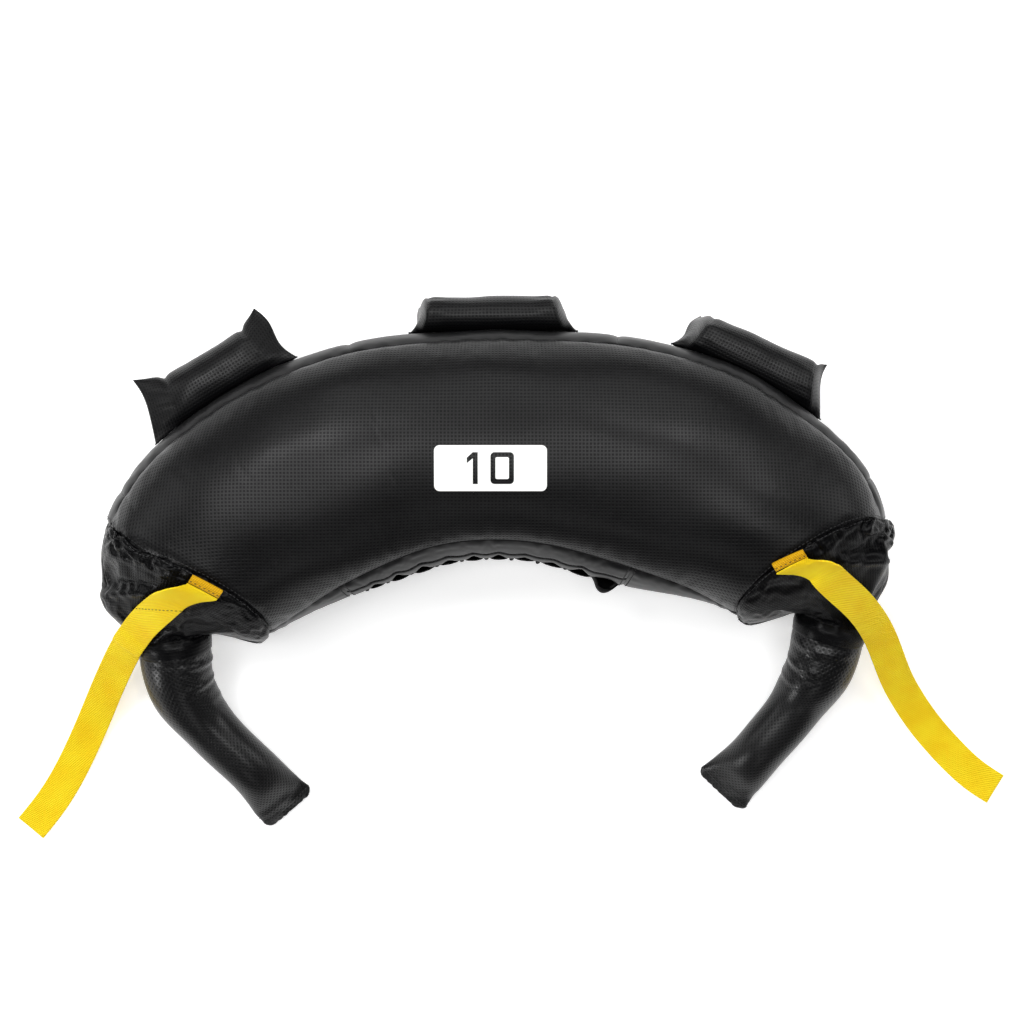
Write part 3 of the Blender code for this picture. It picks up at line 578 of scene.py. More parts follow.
RIBS = body_ribs()
cap_shares = np.interp(spaced(CAP_LENGTH, CAP_CELL)[1:], (0, CAP_LENGTH), (0, 1))
left_cap = cap_surface("left", cap_shares[::-1, None], ring_angles(0.0)[None, :])
body = surface(RIBS[:, None], ring_angles(RIBS))
right_cap = cap_surface("right", cap_shares[:, None], ring_angles(float(LAST_RIB))[None, :])
SKIN = np.concatenate([left_cap, body, right_cap])
CAP_ROWS = len(cap_shares)
LEFT_SEAM, RIGHT_SEAM = CAP_ROWS, CAP_ROWS + len(RIBS) - 1
print("skin", SKIN.shape, "seam columns", SEAM_COLUMNS.tolist())

# %% [markdown]
# ## Puckers, creases and lumps
# A sewn seam is a little shorter than the cloth beside it, so the cloth stands in small waves that die
# out a finger's breadth away, and the seam itself lies in a groove. The filling makes broad, shallow
# lumps. All of this is a height that is added along the surface's own direction.

# %% Heights on the skin
LUMPS = [(0.0009, 0.095, 5), (0.0004, 0.045, 6)]    # height of the filling's lumps, how far apart, seed
GROOVE_HALF, PUCKER_START, PUCKER_REACH = 0.0024, 0.002, 0.010      # distances from the seam
LONG_SEAM = {"groove": 0.0014, "pucker": 0.0006, "length": 0.015}
END_SEAM = {"groove": 0.0012, "pucker": 0.00025, "length": 0.021}
CROSS_SEAM = {"groove": 0.0012, "pucker": 0.0004, "length": 0.015}
RIPPLE_WAVES, RIPPLE_SCALE = 7, 3.2             # waves in all directions, and what brings them near 1


def directions(grid):
    """Direction out of a closed tube of points, at each of them."""
    across = np.roll(grid, -1, axis=1) - np.roll(grid, 1, axis=1)
    return unit(np.cross(across, np.gradient(grid, axis=0)))


def ripple(points, size, seed):
    """Smooth waves in all directions, between -1 and 1, about this far apart."""
    chance = np.random.default_rng(seed)
    total = np.zeros(points.shape[:-1])
    for _ in range(RIPPLE_WAVES):
        way = unit(chance.normal(size=3))
        turns = points @ way / (size * chance.uniform(0.75, 1.35))
        total += np.sin(turns * 2 * pi + chance.uniform(0, 2 * pi))
    return total / RIPPLE_SCALE


def lumps(points, *kinds):
    """The sum of ripples, each with its height, its distance apart and its seed."""
    return sum(size * ripple(points, apart, seed) for size, apart, seed in kinds)


def seam_wave(distance, length, seed):
    """Uneven waves along a seam, this far apart."""
    chance = np.random.default_rng(seed)
    total = np.zeros_like(distance)
    for share in (0.71, 1.0, 1.43):
        total += np.sin(distance * 2 * pi / (length * share) + chance.uniform(0, 2 * pi))
    return total / 2.2


def seam_height(distance, along, seed, groove, pucker, length):
    """Groove at the seam and puckers beside it, which are this long."""
    fold = np.exp(-(distance / GROOVE_HALF) ** 1.5)
    fade = np.exp(-distance / PUCKER_REACH) * (1 - np.exp(-distance / PUCKER_START))
    return pucker * seam_wave(along, length, seed) * fade - groove * fold


def step_lengths(grid, axis):
    """Distances from each point of a grid to the next one along an axis."""
    return np.linalg.norm(np.diff(grid, axis=axis), axis=2)


OUT = directions(SKIN)
if OUT[LEFT_SEAM + len(RIBS) // 2, (SEAM_COLUMNS[1] + SEAM_COLUMNS[2]) // 2, 2] < 0:
    OUT = -OUT
ring = np.concatenate([SKIN, SKIN[:, :1]], axis=1)
AROUND = np.concatenate([np.zeros((len(SKIN), 1)), np.cumsum(step_lengths(ring, 1), axis=1)], axis=1)
ACROSS, ROUND = AROUND[:, :-1], AROUND[:, -1:]
ALONG = np.concatenate([np.zeros((1, COLUMNS)), np.cumsum(step_lengths(SKIN, 0), axis=0)])
print("round the bag", ROUND[len(SKIN) // 2].round(3), "m, along it", ALONG[-1, 0].round(3), "m")

# %% [markdown]
# ### The height of every seam
# Four long seams run the length of the bag, one closes each end, and six short ones cross the outer and
# the inner strip. Each gets its groove and its puckers from the distance over the cloth to that seam.

# %% Seams and lumps
def skin_height():
    """Heights of the lumps, the grooves and the puckers, in metres."""
    height = lumps(SKIN, *LUMPS)
    rows = np.arange(len(SKIN))[:, None]
    on_body = ((rows >= LEFT_SEAM) & (rows <= RIGHT_SEAM)).astype(float)
    for k, column in enumerate(SEAM_COLUMNS[:-1]):
        gap = np.abs(ACROSS - ACROSS[:, column:column + 1])
        gap = np.minimum(gap, ROUND - gap)
        height += on_body * seam_height(gap, ALONG[:, column:column + 1], 20 + k, **LONG_SEAM)
    for k, row in enumerate((LEFT_SEAM, RIGHT_SEAM)):
        height += seam_height(np.abs(ALONG - ALONG[row]), ACROSS[row], 30 + k, **END_SEAM)
    for strip, seams in ((0, OUTER_SEAMS), (2, INNER_SEAMS)):
        inside = np.zeros(SKIN.shape[:2])
        inside[:, SEAM_COLUMNS[strip]:SEAM_COLUMNS[strip + 1] + 1] = 1
        for k, rib in enumerate(seams):
            row, seed = row_at(rib), 40 + 10 * strip + k
            height += inside * seam_height(np.abs(ALONG - ALONG[row]), ACROSS[row], seed, **CROSS_SEAM)
    return height


HEIGHT = skin_height()
print("seams and lumps from", HEIGHT.min().round(5), "to", HEIGHT.max().round(5))

# %% [markdown]
# ### The slack cloth of the caps
# Only the caps are slack. Each has a few folds, a crumpled place beside them and small gathers round the
# arm's mouth. A fold is a flap of cloth, so it rises towards its edge and drops behind it. In a few
# places the cloth bulges out or draws in, and none of it goes below the floor.

# %% Folds, gathers and bulges
FOLD_EDGE, FOLD_FADE = 0.0024, 0.006            # half width of a fold's edge, and how its ends die out
FOLD_DROP, FACING_UP = 0.35, (-0.1, 0.3)        # depth behind it, and which cloth counts as facing up


def fold_profile(distance, height, soft):
    """A flap of cloth: it rises towards the fold's edge and drops behind it."""
    rising = height * np.exp(-np.maximum(distance, 0) / soft)
    behind = -FOLD_DROP * height * np.exp(np.minimum(distance, 0) / (soft * 0.5))
    return behind + (rising - behind) * smooth_step(distance, -FOLD_EDGE, FOLD_EDGE)


def fold(points, start, end, height, soft, out):
    """Height of one fold on the side that faces up; its edge runs between two places seen from above."""
    start, end = np.array(start), np.array(end)
    length = np.linalg.norm(end - start)
    way = (end - start) / length
    rest = points[..., :2] - start
    run = rest @ way
    distance = rest @ np.array((-way[1], way[0]))
    ends = smooth_step(run, -FOLD_FADE, FOLD_FADE)
    ends = ends * (1 - smooth_step(run, length - FOLD_FADE, length + FOLD_FADE))
    return fold_profile(distance, height, soft) * ends * smooth_step(out[..., 2], *FACING_UP)


CAP_FOLDS = [                 # two ends seen from above, height and softness
    ((-0.256, -0.1085), (-0.300, -0.109), 0.0045, 0.012),
    ((-0.2905, -0.050), (-0.2835, -0.076), 0.0034, 0.005),
    ((-0.2950, -0.0635), (-0.2840, -0.0775), 0.0028, 0.004),
    ((-0.2840, -0.077), (-0.262, -0.090), 0.0024, 0.006),
    ((0.298, -0.0845), (0.250, -0.0850), 0.0045, 0.012),
    ((0.2765, -0.050), (0.2690, -0.066), 0.0036, 0.005),
    ((0.2690, -0.066), (0.2800, -0.0685), 0.0030, 0.004),
    ((0.2800, -0.0685), (0.2935, -0.078), 0.0028, 0.005),
]
CRUMPLED = [(-0.272, -0.092), (0.280, -0.072)]      # middles of the two crumpled places
CRUMPLE_HEIGHT, CRUMPLE_SIZE, CRUMPLE_REACH = 0.0007, 0.024, (0.026, 0.018)
CAP_LUMP_HEIGHT, CAP_LUMP_SIZE = 0.0005, 0.034
GATHERS, GATHER_HEIGHT, GATHER_START, GATHER_REACH = 15, 0.0006, 0.006, 0.009
FLOOR_GAP = 0.0004


def near_crumple(place, reach):
    """How near the skin is to a crumpled place: 1 at it and 0 far from it."""
    return np.exp(-((SKIN[..., 0] - place[0]) / reach[0]) ** 2 - ((SKIN[..., 1] - place[1]) / reach[1]) ** 2)


in_cap = np.ones(SKIN.shape[:2])
in_cap[LEFT_SEAM:RIGHT_SEAM + 1] = 0
for start, end, height, soft in CAP_FOLDS:
    HEIGHT += in_cap * fold(SKIN, start, end, height, soft, OUT)
for place in CRUMPLED:
    crumple = CRUMPLE_HEIGHT * ripple(SKIN, CRUMPLE_SIZE, 93)
    HEIGHT += in_cap * near_crumple(place, CRUMPLE_REACH) * crumple
HEIGHT += in_cap * CAP_LUMP_HEIGHT * ripple(SKIN, CAP_LUMP_SIZE, 92)
SKIN = SKIN + OUT * HEIGHT[..., None]
way_to_mouth = np.minimum(ALONG, ALONG[-1] - ALONG)
turn = np.broadcast_to(np.arange(COLUMNS) * 2 * pi / COLUMNS, way_to_mouth.shape)
gathers = np.sin(turn * GATHERS + 2.0 * np.sin(turn * 2))
gathers = gathers * np.exp(-((way_to_mouth - GATHER_START) / GATHER_REACH) ** 2)
SKIN = SKIN + OUT * (GATHER_HEIGHT * in_cap * gathers)[..., None]
CAP_BULGES = [                # centre, reach along x, y and z, and how far the slack cloth hangs out
    ((-0.272, -0.118, 0.062), (0.030, 0.021, 0.036), (-0.017, -0.002, 0.0)),
    ((0.276, -0.098, 0.066), (0.030, 0.020, 0.036), (0.009, -0.001, 0.0)),
    ((-0.303, -0.063, 0.060), (0.022, 0.016, 0.045), (0.007, 0.0, 0.0)),
    ((0.303, -0.087, 0.060), (0.018, 0.010, 0.045), (-0.005, 0.0, 0.0)),
]
for centre, reach, push in CAP_BULGES:
    near = np.exp(-np.sum(((SKIN - centre) / reach) ** 2, axis=-1)) * in_cap
    SKIN = SKIN + near[..., None] * push
SKIN[..., 2] = np.maximum(SKIN[..., 2], FLOOR_GAP)
print("with the folds from", HEIGHT.min().round(5), "to", HEIGHT.max().round(5))

# %% [markdown]
# ## Stuffing the skin
# Cloth simulation turns these shapes into sewn cloth. The seams are given a shorter natural length
# than the cloth beside them, and the caps a longer one, so the cloth has to pucker and crumple.
# Pressure from inside stands for the filling. A pin group holds the body near its place and leaves the
# caps almost free, and the mouths are fixed. The cloth may move 5 mm at most, so it stays on the model.

# %% Cloth simulation
PRESSURE, POINT_MASS, BENDING, STUFFING_FRAMES, MOST_MOVED = 1.0, 0.002, 0.02, 12, 0.005
CAP_SLACK, CRUMPLE_SLACK, CRUMPLE_SLACK_REACH = 0.05, 0.08, (0.030, 0.022)
END_SEAM_SLACK, LONG_SEAM_SLACK = -0.012, -0.03
TIGHT_CAP = (-0.115, -0.105), (-0.095, -0.085)      # left and right: below these y the cap's cloth is tight
TIGHT_SHARE = 0.35                                  # of the slack is left there
CAP_HOLD, BODY_HOLD, MOUTH_ROWS = 0.02, 0.25, 2


def graded_group(piece, name, weights):
    """A vertex group whose weights are rounded to hundredths, which makes it quick to fill."""
    group = piece.vertex_groups.new(name=name)
    steps = np.round(np.clip(weights, 0, 1).ravel(), 2)
    for weight in np.unique(steps):
        group.add(np.nonzero(steps == weight)[0].tolist(), float(weight), "REPLACE")
    return name


def stuffed(grid, slack, hold, most):
    """The ring-shaped grid as cloth under pressure; slack is extra length, and most caps the movement."""
    rows, cols = grid.shape[:2]
    i, j = grid_cells(rows, cols, True)
    mesh = bpy.data.meshes.new("cloth")
    mesh.from_pydata(grid.reshape(-1, 3).tolist(), [], (i * cols + j % cols).tolist())
    piece = bpy.data.objects.new("cloth", mesh)
    bpy.context.collection.objects.link(piece)
    low, high = float(-slack.max()), float(max(-slack.min(), 0.001))
    cloth = piece.modifiers.new("cloth", "CLOTH")
    rules = cloth.settings
    rules.quality = 5
    rules.mass = POINT_MASS
    rules.use_pressure = True
    rules.uniform_pressure_force = PRESSURE
    rules.effector_weights.gravity = 0
    rules.bending_stiffness = BENDING
    rules.vertex_group_shrink = graded_group(piece, "shrink", (-slack - low) / (high - low))
    rules.shrink_min, rules.shrink_max = low, high
    rules.vertex_group_mass = graded_group(piece, "pin", hold)
    cloth.collision_settings.use_collision = False
    cloth.point_cache.frame_end = STUFFING_FRAMES
    for frame_number in range(1, STUFFING_FRAMES + 1):
        bpy.context.scene.frame_set(frame_number)
    graph = bpy.context.evaluated_depsgraph_get()
    done = mesh_points(piece.evaluated_get(graph).data).reshape(grid.shape)
    bpy.data.objects.remove(piece)
    bpy.context.scene.frame_set(1)
    moved = done - grid
    distance = np.linalg.norm(moved, axis=-1, keepdims=True)
    return grid + moved * (most * np.tanh(distance / most) / np.maximum(distance, 1e-9))


def skin_slack():
    """Extra length of the cloth: more in the caps, less on the seams."""
    left = SKIN[..., 0] < 0
    low, high = (np.where(left, *pair) for pair in zip(*TIGHT_CAP))
    slack = CAP_SLACK * in_cap
    slack = slack * (TIGHT_SHARE + (1 - TIGHT_SHARE) * smooth_step(SKIN[..., 1], low, high))
    for place in CRUMPLED:
        slack += in_cap * CRUMPLE_SLACK * near_crumple(place, CRUMPLE_SLACK_REACH)
    slack[[LEFT_SEAM, RIGHT_SEAM]] = END_SEAM_SLACK
    slack[LEFT_SEAM:RIGHT_SEAM + 1, SEAM_COLUMNS[:-1]] = LONG_SEAM_SLACK
    return slack


hold = np.where(in_cap > 0, CAP_HOLD, BODY_HOLD)
hold[:MOUTH_ROWS] = hold[-MOUTH_ROWS:] = 1.0
hold[SKIN[..., 2] < 0.001] = 1.0                    # what lies on the floor stays there
SKIN = stuffed(SKIN, skin_slack(), hold, MOST_MOVED)
SKIN[..., 2] = np.maximum(SKIN[..., 2], FLOOR_GAP)
print("stuffed skin", SKIN.reshape(-1, 3).min(axis=0).round(4), SKIN.reshape(-1, 3).max(axis=0).round(4))

# %% [markdown]
# ## Cutting the skin into its panels
# Each panel is the part of the grid between its seams. The columns on a seam belong to both panels, so
# the pieces meet without a gap. The emboss must run straight over the whole front, as on cloth from a
# roll, so the front and the back are laid flat: each point goes to the crown of its rib and then
# straight out by its distance over the cloth.

# %% Panels
SHEET = 0.0012                # thickness of the vinyl


def laid_flat(part, way):
    """Flat place of each point of the front or the back, from its distances round the bag."""
    top = np.argmax(np.abs(part[..., 2] - part[:, :1, 2]), axis=1)
    picked = np.arange(len(part))
    centre = part[picked, top, :2]
    rib = unit(part[:, -1, :2] - part[:, 0, :2])
    return centre[:, None] + rib[:, None] * (way - way[picked, top][:, None])[..., None]


def sewn_piece(name, points, uv, material, ring=False, levels=1):
    """A sheet of vinyl through a grid of points, smoothed and given its thickness inwards."""
    piece = cloth_piece(name, points, material, uv, ring)
    if levels:
        smooth = piece.modifiers.new("smooth", "SUBSURF")
        smooth.levels = smooth.render_levels = levels
    thicken(piece, SHEET, offset=-1.0)
    return settled(piece)


def panel(name, nodes, strip, start, end, material):
    """The part of a strip from one rib to another, in place of these nodes."""
    rows = np.arange(row_at(start), row_at(end) + 1)
    columns = np.arange(SEAM_COLUMNS[strip], SEAM_COLUMNS[strip + 1] + 1)
    way = AROUND[rows][:, columns]
    columns = columns % COLUMNS
    part = SKIN[rows][:, columns]
    if material is EMBOSSED:
        uv = laid_flat(part, way)
    else:
        uv = np.stack([ALONG[rows][:, columns], way], axis=-1)
    piece = sewn_piece(name, part, uv, material)
    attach(piece, "bag")
    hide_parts(*nodes)
    return piece


front = panel("front_panel_vinyl", ["front_panel", "ballast_core"], 1, 0.0, LAST_RIB, EMBOSSED)
back = panel("back_panel_vinyl", ["back_panel"], 3, 0.0, LAST_RIB, EMBOSSED)
gussets = []
gusset_stops = [0.0] + OUTER_SEAMS + [float(LAST_RIB)]
gusset_names = ["left_end", "left", "centre", "right", "right_end"]
for name, start, end in zip(gusset_names, gusset_stops, gusset_stops[1:]):
    piece = panel(f"outer_gusset_{name}_vinyl", [f"outer_gusset_{name}"], 0, start, end, SMOOTH)
    gussets.append(piece)
for name, start, end in (("left", 0.0, INNER_SEAMS[0]), ("right", INNER_SEAMS[1], float(LAST_RIB))):
    piece = panel(f"inner_gusset_{name}_vinyl", [f"inner_gusset_{name}"], 2, start, end, SMOOTH)
    gussets.append(piece)
print("front panel faces", len(front.data.polygons))

# %% [markdown]
# ## The gathered end caps
# The caps are cut like bags and drawn in round the arm. Their cloth is embossed too, and it runs with
# the cap, so its grid turns as it gathers. The simulation makes the soft bulges, and the sharp creases
# are pressed into a finer grid after it. The cloth ends in a hem that lies close round the arm.

# %% End caps
CAP_CREASES = [               # two ends seen from above, height and softness
    ((-0.258, -0.1085), (-0.299, -0.1092), 0.0016, 0.004),
    ((-0.2905, -0.0500), (-0.2835, -0.0760), 0.0016, 0.0025),
    ((-0.2950, -0.0635), (-0.2840, -0.0775), 0.0014, 0.0025),
    ((-0.2870, -0.0800), (-0.2700, -0.0905), 0.0012, 0.003),
    ((-0.2700, -0.0860), (-0.2460, -0.0980), 0.0012, 0.003),
    ((-0.2880, -0.0950), (-0.2700, -0.1010), 0.0010, 0.003),
    ((-0.2420, -0.1330), (-0.2260, -0.1560), 0.0013, 0.004),
    ((0.297, -0.0845), (0.252, -0.0850), 0.0016, 0.004),
    ((0.2765, -0.0500), (0.2690, -0.0660), 0.0018, 0.0025),
    ((0.2690, -0.0660), (0.2800, -0.0685), 0.0016, 0.0025),
    ((0.2800, -0.0685), (0.2935, -0.0780), 0.0014, 0.0025),
    ((0.2500, -0.0700), (0.2740, -0.0740), 0.0010, 0.003),
    ((0.2320, -0.1300), (0.2420, -0.1420), 0.0012, 0.004),
]
CUFF = [(-0.0055, 0.0286), (-0.0020, 0.0287), (0.0010, 0.0283), (0.0035, 0.0279), (0.0050, 0.0277)]
CUFF_PATTERN = 0.009          # how far the pattern runs on from the mouth to the arm's root
CAP_FINER = 3                 # rows and columns for each one of the skin
FREE_ROWS = (1, 8)            # rows beside the seam over which the creases begin


def refined(grid, times):
    """A grid that closes into a ring, with this many times its rows and columns, on smooth lines."""
    rows, cols, size = grid.shape
    lines = spline(grid.reshape(rows, -1))(np.linspace(0, rows - 1, (rows - 1) * times + 1))
    lines = lines.reshape(-1, cols, size)
    padded = np.concatenate([lines[:, -6:], lines, lines[:, :6]], axis=1).transpose(1, 0, 2)
    counts = 6 + np.arange(cols * times) / times
    rounds = spline(padded.reshape(len(padded), -1))(counts)
    return rounds.reshape(len(counts), len(lines), size).transpose(1, 0, 2)


def resampled(values, i, j):
    """Values of a grid at fractions of its rows and columns, on straight lines between its points."""
    lines = np.stack([np.interp(i, np.arange(len(values)), column) for column in values.T], axis=1)
    return np.stack([np.interp(j, np.arange(values.shape[1]), line) for line in lines])


def cuff_rows(mouth, mouth_uv, side):
    """The hem round the arm: CUFF holds its reach along the arm and its radius. Its uv comes with it."""
    along = unit(ARM_ROUTES[side][0] - NOZZLES[side])
    off = mouth - NOZZLES[side]
    off = unit(off - along * dot(off, along))
    rows = [NOZZLES[side] + along * reach + off * radius for reach, radius in CUFF]
    return np.array(rows), np.array([mouth_uv + (0, CUFF_PATTERN + reach) for reach, _ in CUFF])


def end_cap(side, rows):
    """One end cap from the end seam to its mouth."""
    seam = LEFT_SEAM if side == "left" else RIGHT_SEAM
    along = np.concatenate([ALONG[rows], ALONG[rows][:, :1]], axis=1)
    fine = refined(SKIN[rows], CAP_FINER)
    i = np.linspace(0, len(rows) - 1, fine.shape[0])
    j = np.linspace(0, COLUMNS, fine.shape[1] + 1)
    around = np.broadcast_to(AROUND[seam], along.shape)
    uv = np.stack([resampled(values, i, j) for values in (around, along)], axis=-1)
    out = directions(fine)
    if np.sum(out * refined(OUT[rows], CAP_FINER)) < 0:
        out = -out
    if side == "right":                       # both caps are worked on from the mouth to the seam
        fine, uv, out = fine[::-1], uv[::-1], out[::-1]
    from_seam = np.arange(len(fine))[::-1, None]
    height = sum(fold(fine, *crease, out) for crease in CAP_CREASES)
    fine = fine + out * (height * smooth_step(from_seam, *FREE_ROWS))[..., None]
    cuff, cuff_uv = cuff_rows(fine[0], uv[0], side)
    fine, uv = np.concatenate([cuff[::-1], fine]), np.concatenate([cuff_uv[::-1], uv])
    if side == "right":
        fine, uv = fine[::-1], uv[::-1]
    fine[..., 2] = np.maximum(fine[..., 2], FLOOR_GAP)
    # the cap's vinyl is the darker copy of the embossed film: painted shade on the crumpled caps
    piece = sewn_piece(f"{side}_end_cap_vinyl", fine, uv, SHADED_CAP_VINYL, ring=True, levels=0)
    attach(piece, "bag")
    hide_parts(f"{side}_end_cap", f"{side}_end_wadding")
    return piece


left_end = end_cap("left", np.arange(0, LEFT_SEAM + 1))
right_end = end_cap("right", np.arange(RIGHT_SEAM, len(SKIN)))
print("cap faces", len(left_end.data.polygons))

# %% [markdown]
# ## The laced lips
# The inner strip is slit along the crown so that the filling can be changed, and a cord draws the slit
# shut. Each edge of the slit is folded back into a wide hem, and a row of stitches holds it. At each tie
# the two hems are pinched together. Between two ties they stand apart and leave a small dark eye. Both
# lips are cut from the skin: their seam side stays, and their other side moves to the edge of the slit.

# %% Lips
TIES = np.linspace(2.56, 6.52, 10)                  # ribs where the lace pulls the lips together
LAST_GAP_END = 6.93
LIP_GAPE = {-1: (0.0098, 0.0066), 1: (-0.0016, -0.0040)}    # how far an edge draws back: eyes, last gap
LIP_PUSH = {-1: (-0.0036, -0.0026), 1: (0.0006, 0.0068)}    # how far it stands out: eyes, last gap
EDGE_GAP, EDGE_BAND = 0.0009, 0.012                         # from the crown to a closed edge; what moves
PINCH, PINCH_HALF = 0.0026, 0.055                           # depth of the pinch at a tie, half width in ribs
HEM_DEPTH = 0.0235            # from the crown to the line of stitches that holds a lip's hem
HEM_STEP, HEM_STEP_WIDTH, HEM_GROOVE, HEM_GROOVE_HALF = 0.0005, 0.0012, 0.0009, 0.0010
HEM_POINTS = np.array((-0.0008, 0, 0.0008, 0.0016))         # places of points across the stitches
EDGE_SHARES = np.array((0.2, 0.35, 0.5, 0.63, 0.75, 0.86, 0.94, 1.0))
RIB_LENGTH = 0.04             # along the inner strip, from one rib to the next


def openings(rib):
    """How far the slit stands open: 0 at a tie, 1 half way between two, more in the last gap."""
    step = TIES[1] - TIES[0]
    phase = (rib - TIES[0]) / step
    between = (phase > 0) & (phase < len(TIES) - 1)
    uneven = 1.05 + 0.22 * np.sin(rib * 4.1 + 0.6)
    small = np.where(between, (1 - np.abs(np.cos(phase * pi)) ** 1.6) * uneven, 0.0)
    last = np.clip((rib - TIES[-1]) / (LAST_GAP_END - TIES[-1]), 0, 1)
    return small, np.sin(last * pi) ** 0.8


def lip(side, name):
    """One lip: side is -1 for the front one and 1 for the back one, with the line of its hem stitches."""
    rows = np.arange(row_at(INNER_SEAMS[0]), row_at(INNER_SEAMS[1]) + 1)
    counts = np.linspace(0, len(rows) - 1, 3 * len(rows) - 2)
    ribs = np.interp(counts, np.arange(len(rows)), RIBS[rows - LEFT_SEAM])
    half = (SEAM_COLUMNS[2] + SEAM_COLUMNS[3]) // 2
    if side < 0:
        columns, crown = np.arange(SEAM_COLUMNS[2], half + 1), half - SEAM_COLUMNS[2]
    else:
        columns, crown = np.arange(SEAM_COLUMNS[3], half - 2, -1), SEAM_COLUMNS[3] - half
    fine, fine_out = (np.stack([spline(grid[rows, column])(counts) for column in columns], axis=1)
                      for grid in (SKIN, OUT))
    small, big = openings(ribs)
    gape, push = (eyes * small + last * big for eyes, last in (LIP_GAPE[side], LIP_PUSH[side]))
    push = push - PINCH * np.exp(-(np.min(np.abs(ribs[:, None] - TIES), axis=1) / PINCH_HALF) ** 2)
    points, uv, hem = [], [], []
    for k, (line, normal) in enumerate(zip(fine, fine_out)):
        way = travel(line)
        reach = way[crown] - EDGE_GAP - gape[k]
        sewn = way[crown] - HEM_DEPTH - 0.4 * gape[k]
        wanted = np.concatenate((np.linspace(0, sewn + 2 * HEM_POINTS[0], 8), sewn + HEM_POINTS,
                                 sewn + (reach - sewn) * EDGE_SHARES))
        lift = push[k] * smooth_step(wanted, reach - EDGE_BAND, reach)
        lift += HEM_STEP * smooth_step(wanted, sewn, sewn + HEM_STEP_WIDTH)
        lift -= HEM_GROOVE * np.exp(-((wanted - sewn) / HEM_GROOVE_HALF) ** 2)
        points.append(along_line(line, way, wanted) + along_line(normal, way, wanted) * lift[:, None])
        uv.append(np.stack([np.full(len(wanted), ribs[k] * RIB_LENGTH), wanted], axis=1))
        hem.append(along_line(points[-1], wanted, sewn))
    points, uv = np.array(points), np.array(uv)
    if side > 0:
        points, uv = points[::-1], uv[::-1]
    piece = sewn_piece(name + "_vinyl", points, uv, SMOOTH)
    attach(piece, "bag")
    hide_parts(name)
    return piece, np.array(hem)


(front_lip, front_hem), (back_lip, back_hem) = lip(-1, "closure_lip_front"), lip(1, "closure_lip_back")
print("lips", len(front_lip.data.polygons), len(back_lip.data.polygons))

# %% [markdown]
# ## The inner sack and the lace
# Through the eyes of the slit the woven sack shows as a dark band; its near-black colour is painted shade
# for the dark inside of the slit, as the sack's own colour is not known. The lace is one cord that goes up
# through the front lip at each tie, over the slit and down through the back lip, with a loop left out at the
# right end to pull on.

# %% Sack band and lace
SACK_RIBS, SACK_ANGLES = (2.3, 6.9), (158, 202)
SACK_DEPTH, SACK_THICK = 0.0052, 0.001
LACE_RADIUS, LACE_SIDES, LACE_POINTS = 0.0015, 10, 460
HOLE_DISTANCE = 0.0060        # from the crown to the holes that the lace goes through
LACE_INSIDE, LACE_OUTSIDE = 0.0050, 0.0006                  # depths of the cord behind and before a lip
LACE_LOOP = [                 # ribs past the last tie, share of the way to the back hole, depth
    (0.05, -0.7, -0.0024), (0.13, -0.2, -0.0069), (0.24, 0.0, -0.0086), (0.34, 0.0, -0.0044),
    (0.38, 0.4, 0.0016), (0.25, 1.0, 0.0050),
]

ribs = np.linspace(*SACK_RIBS, 90)[:, None]
angles = np.radians(np.linspace(*SACK_ANGLES, 15))[None, :]
sack_uv = np.stack(np.broadcast_arrays(ribs * 0.05, angles * 0.07), axis=-1)
sack = cloth_piece("inner_sack_cloth", surface(ribs, angles, SACK_DEPTH), SHADED_SACKCLOTH, sack_uv)
thicken(sack, SACK_THICK, offset=-1.0)
settled(sack)
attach(sack, "bag")
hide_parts("inner_sack")


def crown_angle(distance):
    """Angle between the inner crown and a point this far above it."""
    return asin((distance / (MIDDLE_HEIGHT * (1 - CROWN_LEVEL))) ** (SQUARENESS / 2))


def lace_route():
    """Points of the cord, up and over the slit at each tie, with a loop left out in the last gap."""
    hole = crown_angle(HOLE_DISTANCE)
    points = []
    for u, following in zip(TIES, [*TIES[1:], None]):
        points += [surface(u, pi - hole, LACE_INSIDE), surface(u, pi - hole * 0.96, LACE_OUTSIDE)]
        if following is None:
            points += [surface(u + past, pi + hole * share, depth) for past, share, depth in LACE_LOOP]
        else:
            points.append(surface(u, pi, LACE_OUTSIDE + 0.0003))
        points += [surface(u, pi + hole * 0.96, LACE_OUTSIDE), surface(u, pi + hole, LACE_INSIDE)]
        if following is not None:
            points.append(surface((u + following) / 2, pi, LACE_INSIDE + 0.0008))
    return spread(points, np.linspace(0, 1, LACE_POINTS))


def tube(name, route, radius, sides, material):
    """A round cord along a route, closed at both ends, with metres in its UV map."""
    ahead = unit(np.gradient(route, axis=0))
    side = unit(np.cross(ahead, (0.31, 0.17, 0.94)))
    up = np.cross(side, ahead)
    turn = np.linspace(0, 2 * pi, sides + 1)[:-1]
    ring = np.cos(turn)[None, :, None] * side[:, None] + np.sin(turn)[None, :, None] * up[:, None]
    ends = [np.repeat(route[[k], None], sides, axis=1) for k in (0, -1)]
    points = np.concatenate([ends[0], route[:, None] + radius * ring, ends[1]])
    around = np.linspace(0, 2 * pi * radius, sides + 1)
    uv = np.stack(np.broadcast_arrays(around[None, :], travel(points[:, 0])[:, None]), axis=-1)
    piece = cloth_piece(name, points, material, uv, ring=True)
    face_outwards(piece, merge=0.000001)
    return piece


lace = tube("closure_lace_cord", lace_route(), LACE_RADIUS, LACE_SIDES, CORD)
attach(lace, "bag")
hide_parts("closure_lace")
print("lace", travel(lace_route())[-1].round(3), "m")
